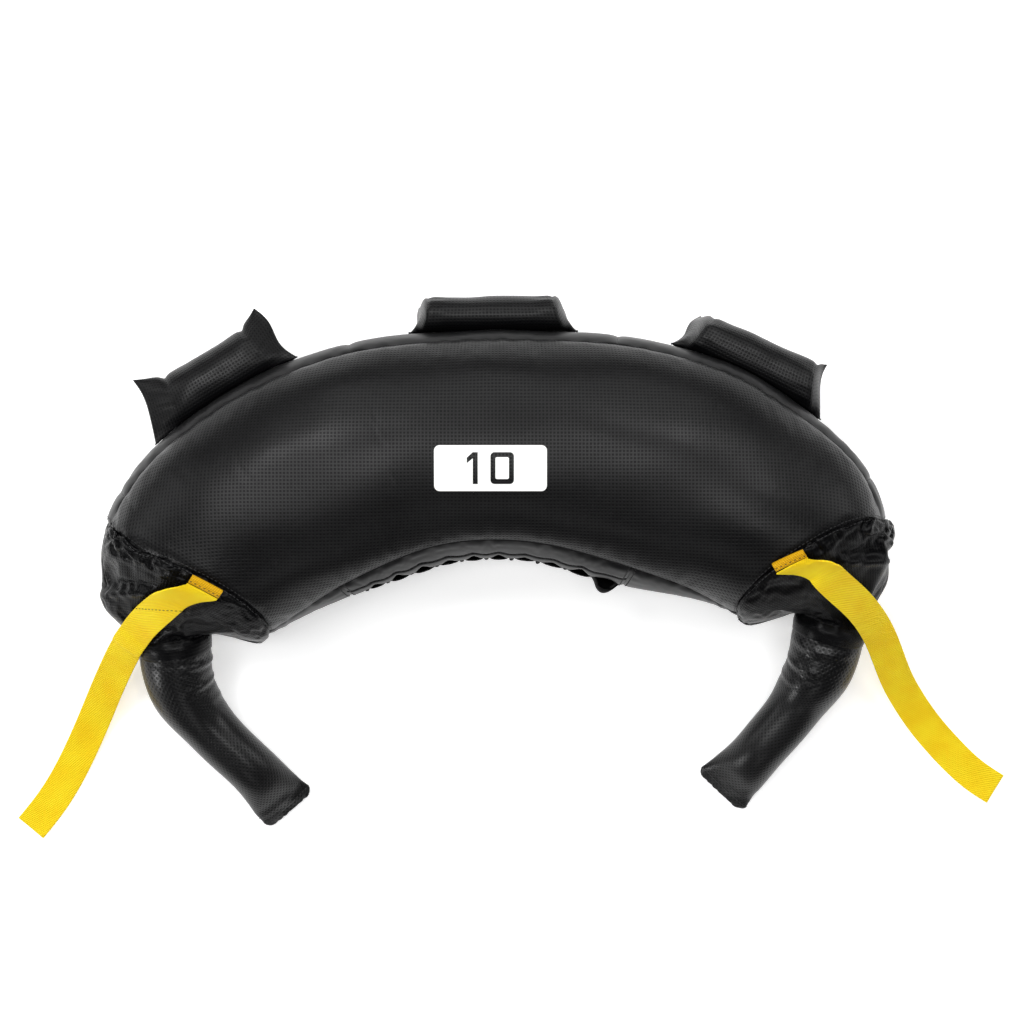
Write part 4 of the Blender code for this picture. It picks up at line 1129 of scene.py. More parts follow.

# %% [markdown]
# ## The arms
# Each arm is a tapered tube that comes out of the cap's mouth, curves down to the floor and is sewn flat at
# its tip. The cloth is a little longer than the stuffing, so it lies in rings on the inside of the bend,
# near the mouth most of all.

# %% Arms
ARM_SHAPE = [                 # share of the arm's length, half width and half height in root radii
    (-0.10, 0.60, 0.60), (0.0, 1.0, 1.0), (0.16, 0.989, 0.989), (0.30, 0.913, 0.913),
    (0.46, 0.785, 0.785), (0.62, 0.747, 0.747), (0.74, 0.747, 0.717), (0.84, 0.770, 0.566),
    (0.92, 0.808, 0.332), (1.00, 0.860, 0.113),
]
ARM_SIDES, ARM_ROWS = 56, 84
ARM_START, ARM_INSIDE = -0.1, 0.016           # share and length of an arm that is inside the cap
ARM_CLOTH_RADIUS, EMBOSS_TURN = 0.022, pi / 4


def arm_frame(side):
    """Centre, sideways and upward directions and half sizes along an arm, from inside the cap."""
    nozzle, route = NOZZLES[side], ARM_ROUTES[side]
    back = nozzle - unit(route[0] - nozzle) * ARM_INSIDE
    shares = np.concatenate((np.linspace(ARM_START, 0.98, ARM_ROWS), (0.99, 1.0)))
    line = spread([nozzle, *route], np.clip(shares, 0, 1))
    line = np.where(shares[:, None] < 0, nozzle + (back - nozzle) * (shares[:, None] / ARM_START), line)
    ahead = unit(np.gradient(line, axis=0))
    for _ in range(4):
        ahead[1:-1] = unit(ahead[:-2] + 2 * ahead[1:-1] + ahead[2:])
    sideways = unit(np.cross(ahead, UP))
    shape = np.array(ARM_SHAPE)
    fine = np.linspace(0, len(shape) - 1, 400)
    smooth = spline(shape)(fine)
    wide, high = (np.interp(shares, smooth[:, 0], smooth[:, k]) * ROOT_RADIUS for k in (1, 2))
    return shares, line, ahead, sideways, np.cross(sideways, ahead), wide, high


ARM_RINGS = {                 # share of the arm, turn where the ring is highest, height
    "left": [(0.085, 150, 0.0012), (0.215, 155, 0.00112), (0.03, 100, 0.00096), (0.34, 185, 0.00048)],
    "right": [(0.02, 90, 0.0012), (0.09, 75, 0.00104), (0.19, 50, 0.00128), (0.30, 15, 0.00056)],
}
RING_HALF, RING_BOW, RING_TURN = 0.0030, 0.003125, 0.95
HOLLOW_SHARE, HOLLOW_PLACE, HOLLOW_HALF = 0.7, 0.0050, 0.0028       # the hollow beside each ring
ARM_GATHERS, ARM_GATHER_HEIGHT, ARM_GATHER_REACH = 17, 0.0003, 0.06
ARM_LUMPS = (0.0005, 0.040, 81)                                     # height, distance apart and seed
TIP_CRUMPLES, TIP_CRUMPLED = ((0.0004, 0.011, 82), (0.0006, 0.022, 83)), (0.84, 0.97)
ARM_FLOOR_GAP = 0.0003
TIP_REACH, TIP_CORNER = 0.0050, 0.0065
TIP_SHARES = np.array((0.2, 0.4, 0.6, 0.75, 0.87, 0.95, 1.0))
TIP_STITCH_ROWS = (-2, -5)


def arm_wrinkles(side, shares, turn, length):
    """Rings of slack cloth on the inside of the bend and gathers at the mouth, in metres."""
    s, t = shares[:, None], turn[None, :]
    height = np.zeros(np.broadcast(s, t).shape)
    for place, middle, size in ARM_RINGS[side]:
        off = np.arctan2(np.sin(t - radians(middle)), np.cos(t - radians(middle)))
        gap = (s - place) * length + RING_BOW * off ** 2
        ring = np.exp(-(gap / RING_HALF) ** 2)
        ring = ring - HOLLOW_SHARE * np.exp(-((gap - HOLLOW_PLACE) / HOLLOW_HALF) ** 2)
        height += size * ring * np.exp(-(off / RING_TURN) ** 4)
    gathers = np.sin(t * ARM_GATHERS + 2.2 * np.sin(3 * t)) * np.exp(-(s / ARM_GATHER_REACH) ** 2)
    return height + ARM_GATHER_HEIGHT * gathers


def arm(side):
    """One arm with its tip sewn flat, and the two rows of stitches on its tip."""
    shares, line, ahead, sideways, up, wide, high = arm_frame(side)
    turn = np.linspace(0, 2 * pi, ARM_SIDES + 1)[:-1]
    level = np.cos(turn)[None, :, None] * sideways[:, None]
    raised = np.sin(turn)[None, :, None] * up[:, None]
    out = level + raised
    way = travel(line)
    lift = arm_wrinkles(side, shares, turn, way[-1])
    size = level * wide[:, None, None] + raised * high[:, None, None]
    points = line[:, None] + size + out * lift[..., None]
    points = points + out * lumps(points, ARM_LUMPS)[..., None]
    crumple = smooth_step(shares, *TIP_CRUMPLED)[:, None] * lumps(points, *TIP_CRUMPLES)
    points = points + out * crumple[..., None]
    points[..., 2] = np.maximum(points[..., 2], ARM_FLOOR_GAP)
    tip, rows = points[-1] - line[-1], [points]
    across = dot(tip, sideways[-1])
    for reach in TIP_SHARES * TIP_REACH:
        over = max(reach - (TIP_REACH - TIP_CORNER), 0.0)
        share = 1 - (TIP_CORNER - np.sqrt(max(TIP_CORNER ** 2 - over ** 2, 0.0))) / wide[-1]
        rim = 0.0005 * np.sin(across * 900 + 1) + 0.0004 * np.sin(across * 1700)
        flat = (tip - sideways[-1] * across) * (1 - 0.5 * reach / TIP_REACH)
        row = line[-1] + sideways[-1] * across * share + flat
        rows.append((row + ahead[-1] * (reach + rim * reach / TIP_REACH))[None])
        way = np.append(way, way[-1] + TIP_REACH / len(TIP_SHARES))
    upper = slice(0, ARM_SIDES // 2 + 1)
    order = np.argsort(across[upper, 0])
    stitch_lines = [points[row][upper][order][2:-2] for row in TIP_STITCH_ROWS]
    last = rows[-1][0]
    middle = last - up[-1] * dot(last - line[-1], up[-1]) * 0.85 + ahead[-1] * 0.0002
    points = np.concatenate([*rows, middle[None]])
    points[..., 2] = np.maximum(points[..., 2], ARM_FLOOR_GAP)
    way = np.append(way, way[-1] + 0.0003)
    girth = np.linspace(0, 2 * pi * ARM_CLOTH_RADIUS, ARM_SIDES + 1)
    u, v = np.broadcast_arrays(girth[None, :], way[:, None])
    cos, sin = np.cos(EMBOSS_TURN), np.sin(EMBOSS_TURN)
    uv = np.stack([u * cos + v * sin, v * cos - u * sin], axis=-1)
    piece = sewn_piece(f"{side}_arm_vinyl", points[:, ::-1], uv[:, ::-1], ARM_VINYL, ring=True)
    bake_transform(piece)
    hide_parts(f"{side}_arm_sleeve", f"{side}_arm_stuffing")
    return piece, stitch_lines


arms = {side: arm(side) for side in ("left", "right")}
arm_line = spread([NOZZLES["left"], *ARM_ROUTES["left"]], np.linspace(0, 1, 50))
print("arm length", travel(arm_line)[-1].round(3))

# %% [markdown]
# ## The three grips
# A grip is a foam roll in a vinyl cover. Its two ends are pressed flat and sewn into the outer seam, so each
# end opens like a fish's tail with two pointed corners.

# %% Grips
GRIP_GIVE = 0.020             # from the bag's skin to where a grip swings freely
# Ribs of the two ends; then for each end its half depth, tilt, lean, depth of the roll, length of the
# neck, and the bow and the swing of its sewn edge.
GRIPS = {
    "left": (1.40, 3.27, (0.0258, 6, 0.0103, 0.0413, 0.20, 0.0036, 0.0006),
             (0.0249, 8, 0.0090, 0.0413, 0.15, 0.0012, -0.0026)),
    "centre": (4.27, 5.60, (0.0195, 56, 0.0068, 0.0285, 0.06, 0.0026, -0.0012),
               (0.0208, 58, 0.0110, 0.0285, 0.06, 0.0022, -0.0010)),
    "right": (6.39, 8.13, (0.0222, 45, 0.0112, 0.0335, 0.08, 0.0004, -0.0022),
              (0.0218, 20, 0.0130, 0.0385, 0.07, 0.0034, 0.0008)),
}
GRIP_END_THICK, GRIP_HALF_HEIGHT = 0.0030, 0.0195
GRIP_SAG, TOUCH_GAP, GRIP_SIDES = 0.3, 0.0005, 48
NECK_DENT, NECK_HALF, EDGE_FADE = 0.0010, 0.022, 0.10
GRIP_FOLDS, FOLD_HEIGHT, FOLD_PLACE, FOLD_HALF = 9, 0.0004, 0.13, 0.07
FULL_SHARE, FULL_ROW = 0.15, 28               # from where its lumps are full, and one row of that part
GRIP_SKIN_GAP = 0.0004


def grip_swell(share, neck):
    """How full the roll is: a flat end opens over a neck, and the roll is full a little after it."""
    return np.sqrt(smooth_step(share / neck, 0.0, 1.7))


def grip_points(name, shares, turns):
    """Points of a roll: flat and tilted at its ends, a round roll between them."""
    start, end, *ends = GRIPS[name]
    foot_a, foot_b = surface(start, 0.0), surface(end, 0.0)
    chord = unit(foot_b - foot_a)
    out = unit(np.cross(UP, chord))
    out = out if np.dot(out, foot_a + foot_b) > 0 else -out
    rows = []
    for share in shares:
        half, tilt, lean, _, neck, bow, swing = ends[0] if share < 0.5 else ends[1]
        depth = ends[0][3] + (ends[1][3] - ends[0][3]) * share
        edge = min(share, 1 - share)
        full = float(grip_swell(edge, neck))
        ramp = min(edge / neck, 1.0)
        dent = NECK_DENT * np.exp(-((edge - neck) / NECK_HALF) ** 2)
        tilt = radians(tilt) * (1 - ramp ** 2)
        reach = half + ((depth - TOUCH_GAP) / 2 - half) * ramp - dent
        thick = GRIP_END_THICK / 2 + (GRIP_HALF_HEIGHT - GRIP_END_THICK / 2) * full
        wide = out * np.cos(tilt) - UP * np.sin(tilt)
        flat = out * np.sin(tilt) + UP * np.cos(tilt)
        base = foot_a + (foot_b - foot_a) * share
        centre = base + out * TOUCH_GAP + wide * (reach + dent * 0.3)
        centre = centre - UP * (GRIP_HALF_HEIGHT * GRIP_SAG * full)
        v = np.cos(turns)
        share_in = lean * max(1 - edge / 0.5, 0) * (1 + v) / 2
        inset = (bow * (1 - v ** 2) + swing * np.sin(pi * v)) * np.exp(-edge / EDGE_FADE)
        shift = (share_in + inset) * (1 if share < 0.5 else -1)
        rows.append(centre + wide * (reach * v)[:, None] + flat * (thick * np.sin(turns))[:, None]
                    + shift[:, None] * chord)
    return np.array(rows), chord


def kept_outside(points, tree, gap):
    """Points that would lie in the bag's skin, moved out of it."""
    flat = points.reshape(-1, 3)
    for k, point in enumerate(flat):
        spot, normal, _, _ = tree.find_nearest(Vector(point))
        room = (Vector(point) - spot).dot(normal)
        if room < gap:
            flat[k] = spot + normal * gap
    return flat.reshape(points.shape)


def pinched_end(row, chord, sign):
    """The sewn edge of a flat end, almost without thickness."""
    middle = row.mean(axis=0)
    half = unit(row[0] - row[GRIP_SIDES // 2])
    rest = row - middle
    wide = half * dot(rest, half)
    along = chord * dot(rest - wide, chord)
    return middle + wide + along + (rest - wide - along) * 0.35 + sign * 0.0006 * chord


def grip(name, seed):
    """One grip: a roll with folds at its necks, and both ends sewn flat to the bag's outer seam."""
    shares = np.concatenate(([0.0, 0.008], np.linspace(0.02, 0.98, 60), [0.992, 1.0]))
    turns = np.linspace(0, 2 * pi, GRIP_SIDES + 1)[:-1]
    points, chord = grip_points(name, shares, turns)
    out = directions(points)
    if np.sum((points - points.mean(axis=1, keepdims=True)) * out) < 0:
        out = -out
    edge = np.minimum(shares, 1 - shares)
    full = np.minimum(edge / FULL_SHARE, 1)[:, None]
    near_end = np.exp(-((edge - FOLD_PLACE) / FOLD_HALF) ** 2)[:, None]
    folds = np.sin(turns * GRIP_FOLDS + 2.0 * np.sin(2 * turns + seed))[None, :] * near_end
    bumps = lumps(points, (0.0006, 0.050, seed), (0.0002, 0.018, seed + 1))
    points = points + out * (FOLD_HEIGHT * folds + full * bumps)[..., None]
    ends = [pinched_end(points[k], chord, sign)[None] for k, sign in ((0, -1), (-1, 1))]
    points = np.concatenate([ends[0], points, ends[1]])
    points = kept_outside(points, SKIN_TREE, GRIP_SKIN_GAP)
    length = travel(points[:, GRIP_SIDES // 4])
    girth = travel(np.concatenate([points[FULL_ROW], points[FULL_ROW][:1]]))
    uv = np.stack(np.broadcast_arrays(girth[None, :], length[:, None]), axis=-1)
    piece = sewn_piece(f"grip_{name}_vinyl", points, uv, EMBOSSED, ring=True)
    face_outwards(piece)
    middle = (GRIPS[name][0] + GRIPS[name][1]) / 2
    sewn, swings = surface(middle, 0.0), surface(middle, 0.0, -GRIP_GIVE)
    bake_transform(piece)
    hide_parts(f"grip_{name}_cover", f"grip_{name}_roll")
    return piece


def skin_tree():
    """The whole skin as a search tree, with its faces pointing out."""
    rows, cols = SKIN.shape[:2]
    i, j = grid_cells(rows, cols, True)
    faces = i * cols + j % cols
    tree = BVHTree.FromPolygons(SKIN.reshape(-1, 3).tolist(), faces.tolist())
    _, normal, _, _ = tree.find_nearest(Vector((0.0, 0.0, 2 * MIDDLE_HEIGHT)))
    if normal.z > 0:
        return tree
    return BVHTree.FromPolygons(SKIN.reshape(-1, 3).tolist(), faces[:, ::-1].tolist())


SKIN_TREE = skin_tree()
grips = {name: grip(name, seed) for name, seed in (("left", 3), ("centre", 5), ("right", 9))}
print("grips", list(grips))

# %% [markdown]
# ## The straps
# Each strap is one length of 25 mm webbing. Its end is folded under and sewn flat over the cap's seam, and
# the rest drops over the cap and lies on the floor. Webbing is stiff across its width, so it stays straight
# from edge to edge and only bends along its length.

# %% Straps and their sewn tabs
STRAP_WIDTH, STRAP_THICK, STRAP_ROWS = 0.025, 0.0015, 110
TAB_LENGTH, TAB_THICK, TAB_START = 0.0056, 0.0030, 0.0003
STRAP_GAP, STRAP_START = 0.0009, 0.0012         # from the tab to the strap, and its first straight part
STRAP_TURN, STRAP_FLATTEN = 0.25, 0.107         # shares of it over which it turns level and loses its bow
STRAP_LEAN, STRAP_CURL, STRAP_CURL_LENGTH = 0.6, 0.0009, 0.071
STRAP_NEAR, STRAP_SKIN_GAP, STRAP_EDGE = 0.012, 0.0004, 0.0005
TAB_EDGE, TAB_EDGE_DROP = 0.0014, 0.0010        # its edges are round over this width and by this height
TAB_STITCH, TAB_GROOVE, TAB_GROOVE_HALF = 0.0016, 0.0006, 0.0007
TAB_SHARE, TAB_TURN = {"left": 0.62, "right": 0.61}, {"left": 0.0, "right": 0.0040}
STRAP_ROUTES = {
    "left": [
        (-0.2289, -0.1100, 0.1326), (-0.2415, -0.1146, 0.1237), (-0.2543, -0.1236, 0.1072),
        (-0.2671, -0.1343, 0.0872), (-0.2818, -0.1515, 0.0600), (-0.2939, -0.1708, 0.0380),
        (-0.3044, -0.1902, 0.0210), (-0.3159, -0.2143, 0.0080), (-0.3295, -0.2426, 0.0022),
        (-0.3456, -0.2706, 0.0013), (-0.3642, -0.2947, 0.0013),
    ],
    "right": [
        (0.2305, -0.0908, 0.1350), (0.2425, -0.0990, 0.1255), (0.2560, -0.1100, 0.1090),
        (0.2672, -0.1195, 0.0940), (0.2776, -0.1306, 0.0775), (0.2889, -0.1474, 0.0560),
        (0.3005, -0.1713, 0.0340), (0.3116, -0.1904, 0.0190), (0.3290, -0.2143, 0.0070),
        (0.3503, -0.2380, 0.0022), (0.3675, -0.2536, 0.0013), (0.3838, -0.2644, 0.0013),
    ],
}


def tab_angle(share):
    """Angle of a place on the end seam, from its share of the way over the rib, outer side first."""
    across = 1 - 2 * share
    return pi / 2 - np.sign(across) * np.arcsin(np.abs(across) ** (SQUARENESS / 2))


def tab_points(side, reaches, columns, height):
    """Points over the cap beside its seam, at distances from it and across the strap's width."""
    u = END_RIB[side]
    width = np.linalg.norm(outer_crown(u) - inner_crown(u))
    angles = tab_angle(TAB_SHARE[side] + columns * STRAP_WIDTH / width)
    middle = tab_angle(np.array(TAB_SHARE[side]))
    far, step = 0.1, 0.02
    length = np.linalg.norm(cap_surface(side, far, middle) - cap_surface(side, 0.0, middle))
    t = far * (np.asarray(reaches)[:, None] - TAB_TURN[side] * (columns + 0.5)) / length
    t, angles = np.broadcast_arrays(t, angles)
    spot = cap_surface(side, t, angles)
    along = cap_surface(side, t + step, angles) - spot
    across = cap_surface(side, t, angles + step) - spot
    normal = unit(np.cross(along, across))
    normal = np.where(normal[..., 2:] > 0, normal, -normal)
    return spot + normal * height, normal


def strap_grid(side, columns):
    """Rows of points across a strap, from its tab to its free end, and each row's direction up."""
    start, end = TAB_START, TAB_START + TAB_LENGTH
    edge, _ = tab_points(side, [start, end], np.array((-0.5, 0, 0.5)), TOUCH_GAP + TAB_THICK / 2)
    leave = unit(edge[1, 1] - edge[0, 1])
    tab_side = unit(edge[1, 2] - edge[1, 0])
    bow = edge[1, 1] - (edge[1, 0] + edge[1, 2]) / 2
    first = edge[1, 1] + leave * STRAP_GAP
    shares = np.linspace(0, 1, STRAP_ROWS)
    line = spread([first, first + leave * STRAP_START, *STRAP_ROUTES[side]], shares)
    ahead = unit(np.gradient(line, axis=0))
    ahead[0] = leave
    level = unit(np.cross(ahead, UP))
    level = np.where(dot(level, tab_side) > 0, level, -level)
    flat = np.minimum(shares / STRAP_FLATTEN, 1)[:, None]
    steady = level[int(STRAP_TURN * (STRAP_ROWS - 1))]
    turned = smooth_step(shares, 0.0, STRAP_TURN)[:, None]
    across = unit(tab_side * (1 - turned) + steady * turned)
    across = np.where(shares[:, None] > STRAP_TURN, level, across)
    lean = -dot(across[:, :2], ahead[:, :2]) / np.minimum(ahead[:, 2:], -0.25)
    let_go = smooth_step(shares, 0.0, 0.05)[:, None]
    within = np.clip(lean, -STRAP_LEAN, STRAP_LEAN) * let_go
    across = unit(across + UP * (within - across[:, 2:] * let_go))
    droop = bow * (1 - flat)
    rows = line[:, None] + across[:, None] * STRAP_WIDTH * columns[None, :, None]
    rows = rows - droop[:, None] * (2 * np.abs(columns))[None, :, None]
    normal = unit(np.cross(across, ahead))
    return rows, np.where(normal[:, 2:] > 0, normal, -normal), travel(line)


def strap(side):
    """One strap: it leaves its tab, drops over the cap without entering it and lies on the floor."""
    columns = np.linspace(-0.5, 0.5, 13)
    rows, normal, way = strap_grid(side, columns)
    curl = STRAP_CURL * np.sin(way * 2 * pi / STRAP_CURL_LENGTH + 1) * smooth_step(way, 0.03, 0.08)
    rows = rows + normal[:, None] * (curl[:, None] * (4 * columns ** 2 - 0.4)[None, :])[..., None]
    for k in range(4, len(rows) // 2):        # a row that would enter the cap is lifted as a whole
        short = 0.0
        for spot in rows[k]:
            hit, face, _, distance = SKIN_TREE.find_nearest(Vector(spot))
            above = (Vector(spot) - hit).dot(face)
            if distance < STRAP_NEAR:
                short = max(short, STRAP_THICK / 2 + STRAP_SKIN_GAP - above)
        rows[k] += normal[k] * short
    rows[..., 2] = np.maximum(rows[..., 2], STRAP_THICK / 2 + 0.0001)
    uv = np.stack(np.broadcast_arrays((columns * STRAP_WIDTH)[None, :], way[:, None]), axis=-1)
    piece = cloth_piece(f"{side}_strap_webbing", rows, WEBBING, uv)
    thicken(piece, STRAP_THICK)
    round_off = piece.modifiers.new("edges", "BEVEL")
    round_off.width = STRAP_EDGE
    round_off.segments = 2
    settled(piece)
    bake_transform(piece)
    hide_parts(f"{side}_strap")
    print(side, "strap", way[-1].round(3), "m")
    return piece


def tab(side):
    """The folded end of the strap over the seam, and how much its columns are spread to be 25 mm wide."""
    columns = np.linspace(-0.5, 0.5, 25)
    reaches = np.linspace(TAB_START + 0.0004, TAB_START + TAB_LENGTH - 0.0002, 15)
    top, _ = tab_points(side, reaches, columns, TOUCH_GAP + TAB_THICK)
    scale = STRAP_WIDTH / np.linalg.norm(top[:, -1] - top[:, 0], axis=1).mean()
    top, normal = tab_points(side, reaches, columns * scale, TOUCH_GAP + TAB_THICK)
    edge = np.minimum(reaches - reaches[0], reaches[-1] - reaches)
    drop = TAB_EDGE_DROP * (1 - smooth_step(edge, 0.0, TAB_EDGE))
    sewn = TAB_GROOVE * np.exp(-((reaches - (reaches[-1] - TAB_STITCH)) / TAB_GROOVE_HALF) ** 2)
    top = top - normal * (drop + sewn)[:, None, None]
    uv = np.stack(np.broadcast_arrays((columns * STRAP_WIDTH)[None, :], reaches[:, None]), axis=-1)
    # the tab's webbing is the darker copy: painted shade
    piece = cloth_piece(f"{side}_strap_tab_webbing", top, SHADED_TAB_WEBBING, uv)
    thicken(piece, TAB_THICK - 0.0014)
    face_outwards(piece)
    settled(piece)
    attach(piece, "bag")
    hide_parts(f"{side}_strap_tab")
    return piece, scale


straps = {side: strap(side) for side in ("left", "right")}
tabs = {side: tab(side) for side in ("left", "right")}

# %% [markdown]
# ## Stitches
# A seam is a row of short threads, all alike, so they are made by Geometry Nodes. The paths are plain
# edges. The tree turns them into curves, drops a point on them at every stitch, puts one small spindle
# on each point and turns it along the path. Each kind of seam becomes one mesh.

# %% Stitches with Geometry Nodes
THREAD_GAP = 0.00012          # from the cloth to the middle of a thread
BESIDE_END_SEAM, BESIDE_CROSS_SEAM = 0.0030, 0.0026
LEFT_STITCH_Y = (-0.1210, -0.1223)      # where the seam crosses the left strap


def stitch_tree():
    """Short threads in a row along every path."""
    tree = bpy.data.node_groups.new("stitches along paths", "GeometryNodeTree")
    ports = {}
    tree.interface.new_socket("Paths", in_out="INPUT", socket_type="NodeSocketGeometry")
    for name, value in (("Pitch", 0.0034), ("Half length", 0.0012), ("Thickness", 0.00032)):
        ports[name] = tree.interface.new_socket(name, in_out="INPUT", socket_type="NodeSocketFloat")
        ports[name].default_value = value
    ports["Thread"] = tree.interface.new_socket("Thread", in_out="INPUT", socket_type="NodeSocketMaterial")
    tree.interface.new_socket("Stitches", in_out="OUTPUT", socket_type="NodeSocketGeometry")
    add_node(tree, "NodeGroupInput")
    given = {socket.name: socket for socket in tree.nodes[-1].outputs}
    curve = add_node(tree, "GeometryNodeMeshToCurve", Mesh=given["Paths"])
    add_node(tree, "GeometryNodeCurveToPoints", {"mode": "LENGTH"}, Curve=curve, Length=given["Pitch"])
    spots = tree.nodes[-1].outputs
    turned = add_node(tree, "FunctionNodeAlignRotationToVector", {"axis": "Z"}, Vector=spots["Tangent"])
    spindle = add_node(tree, "GeometryNodeMeshUVSphere", Segments=6, Rings=4, Radius=1.0)
    size = add_node(tree, "ShaderNodeCombineXYZ",
                    X=given["Thickness"], Y=given["Thickness"], Z=given["Half length"])
    placed = add_node(tree, "GeometryNodeInstanceOnPoints", Points=spots["Points"], Instance=spindle,
                      Rotation=turned, Scale=size)
    joined = add_node(tree, "GeometryNodeRealizeInstances", Geometry=placed)
    smooth = add_node(tree, "GeometryNodeSetShadeSmooth", Geometry=joined)
    coloured = add_node(tree, "GeometryNodeSetMaterial", Geometry=smooth, Material=given["Thread"])
    add_node(tree, "NodeGroupOutput", Stitches=coloured)
    return tree, {name: socket.identifier for name, socket in ports.items()}


STITCHES, STITCH_INPUTS = stitch_tree()


def stitched(name, paths, thread, body, lay_on, **values):
    """Stitches along paths, laid on pieces, as one plain mesh that rides a body."""
    trees = [search_tree(piece) for piece in lay_on]
    points, edges = [], []
    for path in paths:
        first = len(points)
        for point in path:
            near = [tree.find_nearest(Vector(point)) for tree in trees]
            hit, normal, _, _ = min(near, key=lambda found: found[3])
            points.append(tuple(hit + normal * THREAD_GAP))
        edges += [(k, k + 1) for k in range(first, len(points) - 1)]
    mesh = bpy.data.meshes.new(name)
    mesh.from_pydata(points, edges, [])
    piece = bpy.data.objects.new(name, mesh)
    bpy.context.collection.objects.link(piece)
    sewing = piece.modifiers.new("sewing", "NODES")
    sewing.node_group = STITCHES
    for key, value in values.items():
        sewing[STITCH_INPUTS[key.replace("_", " ")]] = value
    sewing[STITCH_INPUTS["Thread"]] = thread
    settled(piece)
    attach(piece, body)
    print(name, "stitches", len(piece.data.polygons) // 24)
    return piece


def beside_row(row, reach):
    """A path round the skin at a distance from one of its rows, which may be negative."""
    step = 1 if reach > 0 else -1
    lines = SKIN[row:row + 6 * step:step].swapaxes(0, 1)
    return np.array([along_line(line, travel(line), abs(reach)) for line in lines])


def whole(path):
    """The path all the way round."""
    return np.concatenate([path, path[:1]])


def inner_strip(path):
    """The part of the path on the inner strip."""
    return path[SEAM_COLUMNS[2]:SEAM_COLUMNS[3] + 1]


bag_paths = [whole(beside_row(row, reach)) for row, reach in (
    (LEFT_SEAM, -BESIDE_END_SEAM), (RIGHT_SEAM, BESIDE_END_SEAM),
    (LEFT_SEAM, BESIDE_END_SEAM), (RIGHT_SEAM, -BESIDE_END_SEAM))]
hem_paths = [front_hem, back_hem] + [inner_strip(beside_row(row_at(rib), reach)) for rib in INNER_SEAMS
                                     for reach in (-BESIDE_CROSS_SEAM, BESIDE_CROSS_SEAM)]
bag_skins = [front, back, left_end, right_end, front_lip, back_lip, *gussets]
stitched("end_seam_stitches", bag_paths, THREAD, "bag", bag_skins)
stitched("hem_stitches", hem_paths, HEM_THREAD, "bag", bag_skins,
         Pitch=0.0032, Half_length=0.0014, Thickness=0.00048)
for side, (piece, scale) in tabs.items():
    reach, columns = TAB_START + TAB_LENGTH - TAB_EDGE, np.linspace(-0.44, 0.44, 9) * scale
    path = tab_points(side, [reach], columns, TOUCH_GAP + TAB_THICK)[0][0]
    stitched(f"{side}_tab_stitches", [path], TAB_THREAD, "bag", [piece], Half_length=0.0010)
rows, normal, _ = strap_grid("left", np.linspace(-0.46, 0.46, 9))
rows = rows[:60] + normal[:60, None] * STRAP_THICK / 2
stitch_y = np.linspace(*LEFT_STITCH_Y, 9)
crossing = [along_line(line, -line[:, 1], -y) for line, y in zip(rows.swapaxes(0, 1), stitch_y)]
stitched("left_strap_stitches", [crossing], TAB_THREAD, "left_strap", [straps["left"]], Half_length=0.0011)
for side, (piece, paths) in arms.items():
    stitched(f"{side}_arm_stitches", paths, THREAD, f"{side}_arm", [piece], Pitch=0.0030)

# %% [markdown]
# ## The weight badge
# A pale badge with the number of kilograms is printed on the front. It is a flat curve with the digits
# cut out, laid over the vinyl: each of its points drops straight down onto the front panel and stays a
# hair above it.

# %% Badge
BADGE_CENTRE, BADGE_HALF, BADGE_CORNER = (-0.0066, -0.0177), (0.0409, 0.0166), 0.0040
DIGIT_STROKE, DIGIT_HALF, ONE_X, NOUGHT_X, NOUGHT_HALF = 0.0036, 0.0115, -0.0110, 0.0085, 0.0085
BADGE_STEP, BADGE_GAP = 0.0015, 0.00022       # between the cuts that let it bend; from the vinyl to it


def rounded(cx, cy, half_x, half_y, corner, steps=8):
    """Corner points of a rectangle with round corners, anticlockwise."""
    spots = []
    for k, (sx, sy) in enumerate(((1, 1), (-1, 1), (-1, -1), (1, -1))):
        for a in np.linspace(k * pi / 2, (k + 1) * pi / 2, steps):
            spots.append((cx + sx * (half_x - corner) + corner * np.cos(a),
                          cy + sy * (half_y - corner) + corner * np.sin(a)))
    return spots


def badge_outlines():
    """The badge's edge, and the edges of its two digits."""
    x, y = BADGE_CENTRE
    stroke, half, one_x = DIGIT_STROKE, DIGIT_HALF, x + ONE_X
    one = [(one_x - stroke / 2, y - half), (one_x + stroke / 2, y - half), (one_x + stroke / 2, y + half),
           (one_x - stroke / 2, y + half), (one_x - stroke * 1.7, y + half - stroke * 1.1),
           (one_x - stroke * 1.7, y + half - stroke * 2.2), (one_x - stroke / 2, y + half - stroke * 1.25)]
    outer = rounded(x + NOUGHT_X, y, NOUGHT_HALF, half, 0.0030)
    inner = rounded(x + NOUGHT_X, y, NOUGHT_HALF - stroke, half - stroke, 0.0012)
    return [rounded(x, y, *BADGE_HALF, BADGE_CORNER), one, outer, inner]


def print_material():
    """Heat-pressed white film: an even, half-matt white that follows the vinyl's grain."""
    material, tree, shader = new_finish("white transfer film, heat pressed", "F4F4F2", 0.45)
    add_node(tree, "ShaderNodeTexCoord")
    grain = add_node(tree, "ShaderNodeTexNoise", Vector=tree.nodes[-1].outputs["Object"], Scale=350.0)
    bump = add_node(tree, "ShaderNodeBump", Height=grain, Distance=0.00008, Strength=0.5)
    tree.links.new(bump, shader.inputs["Normal"])
    return material


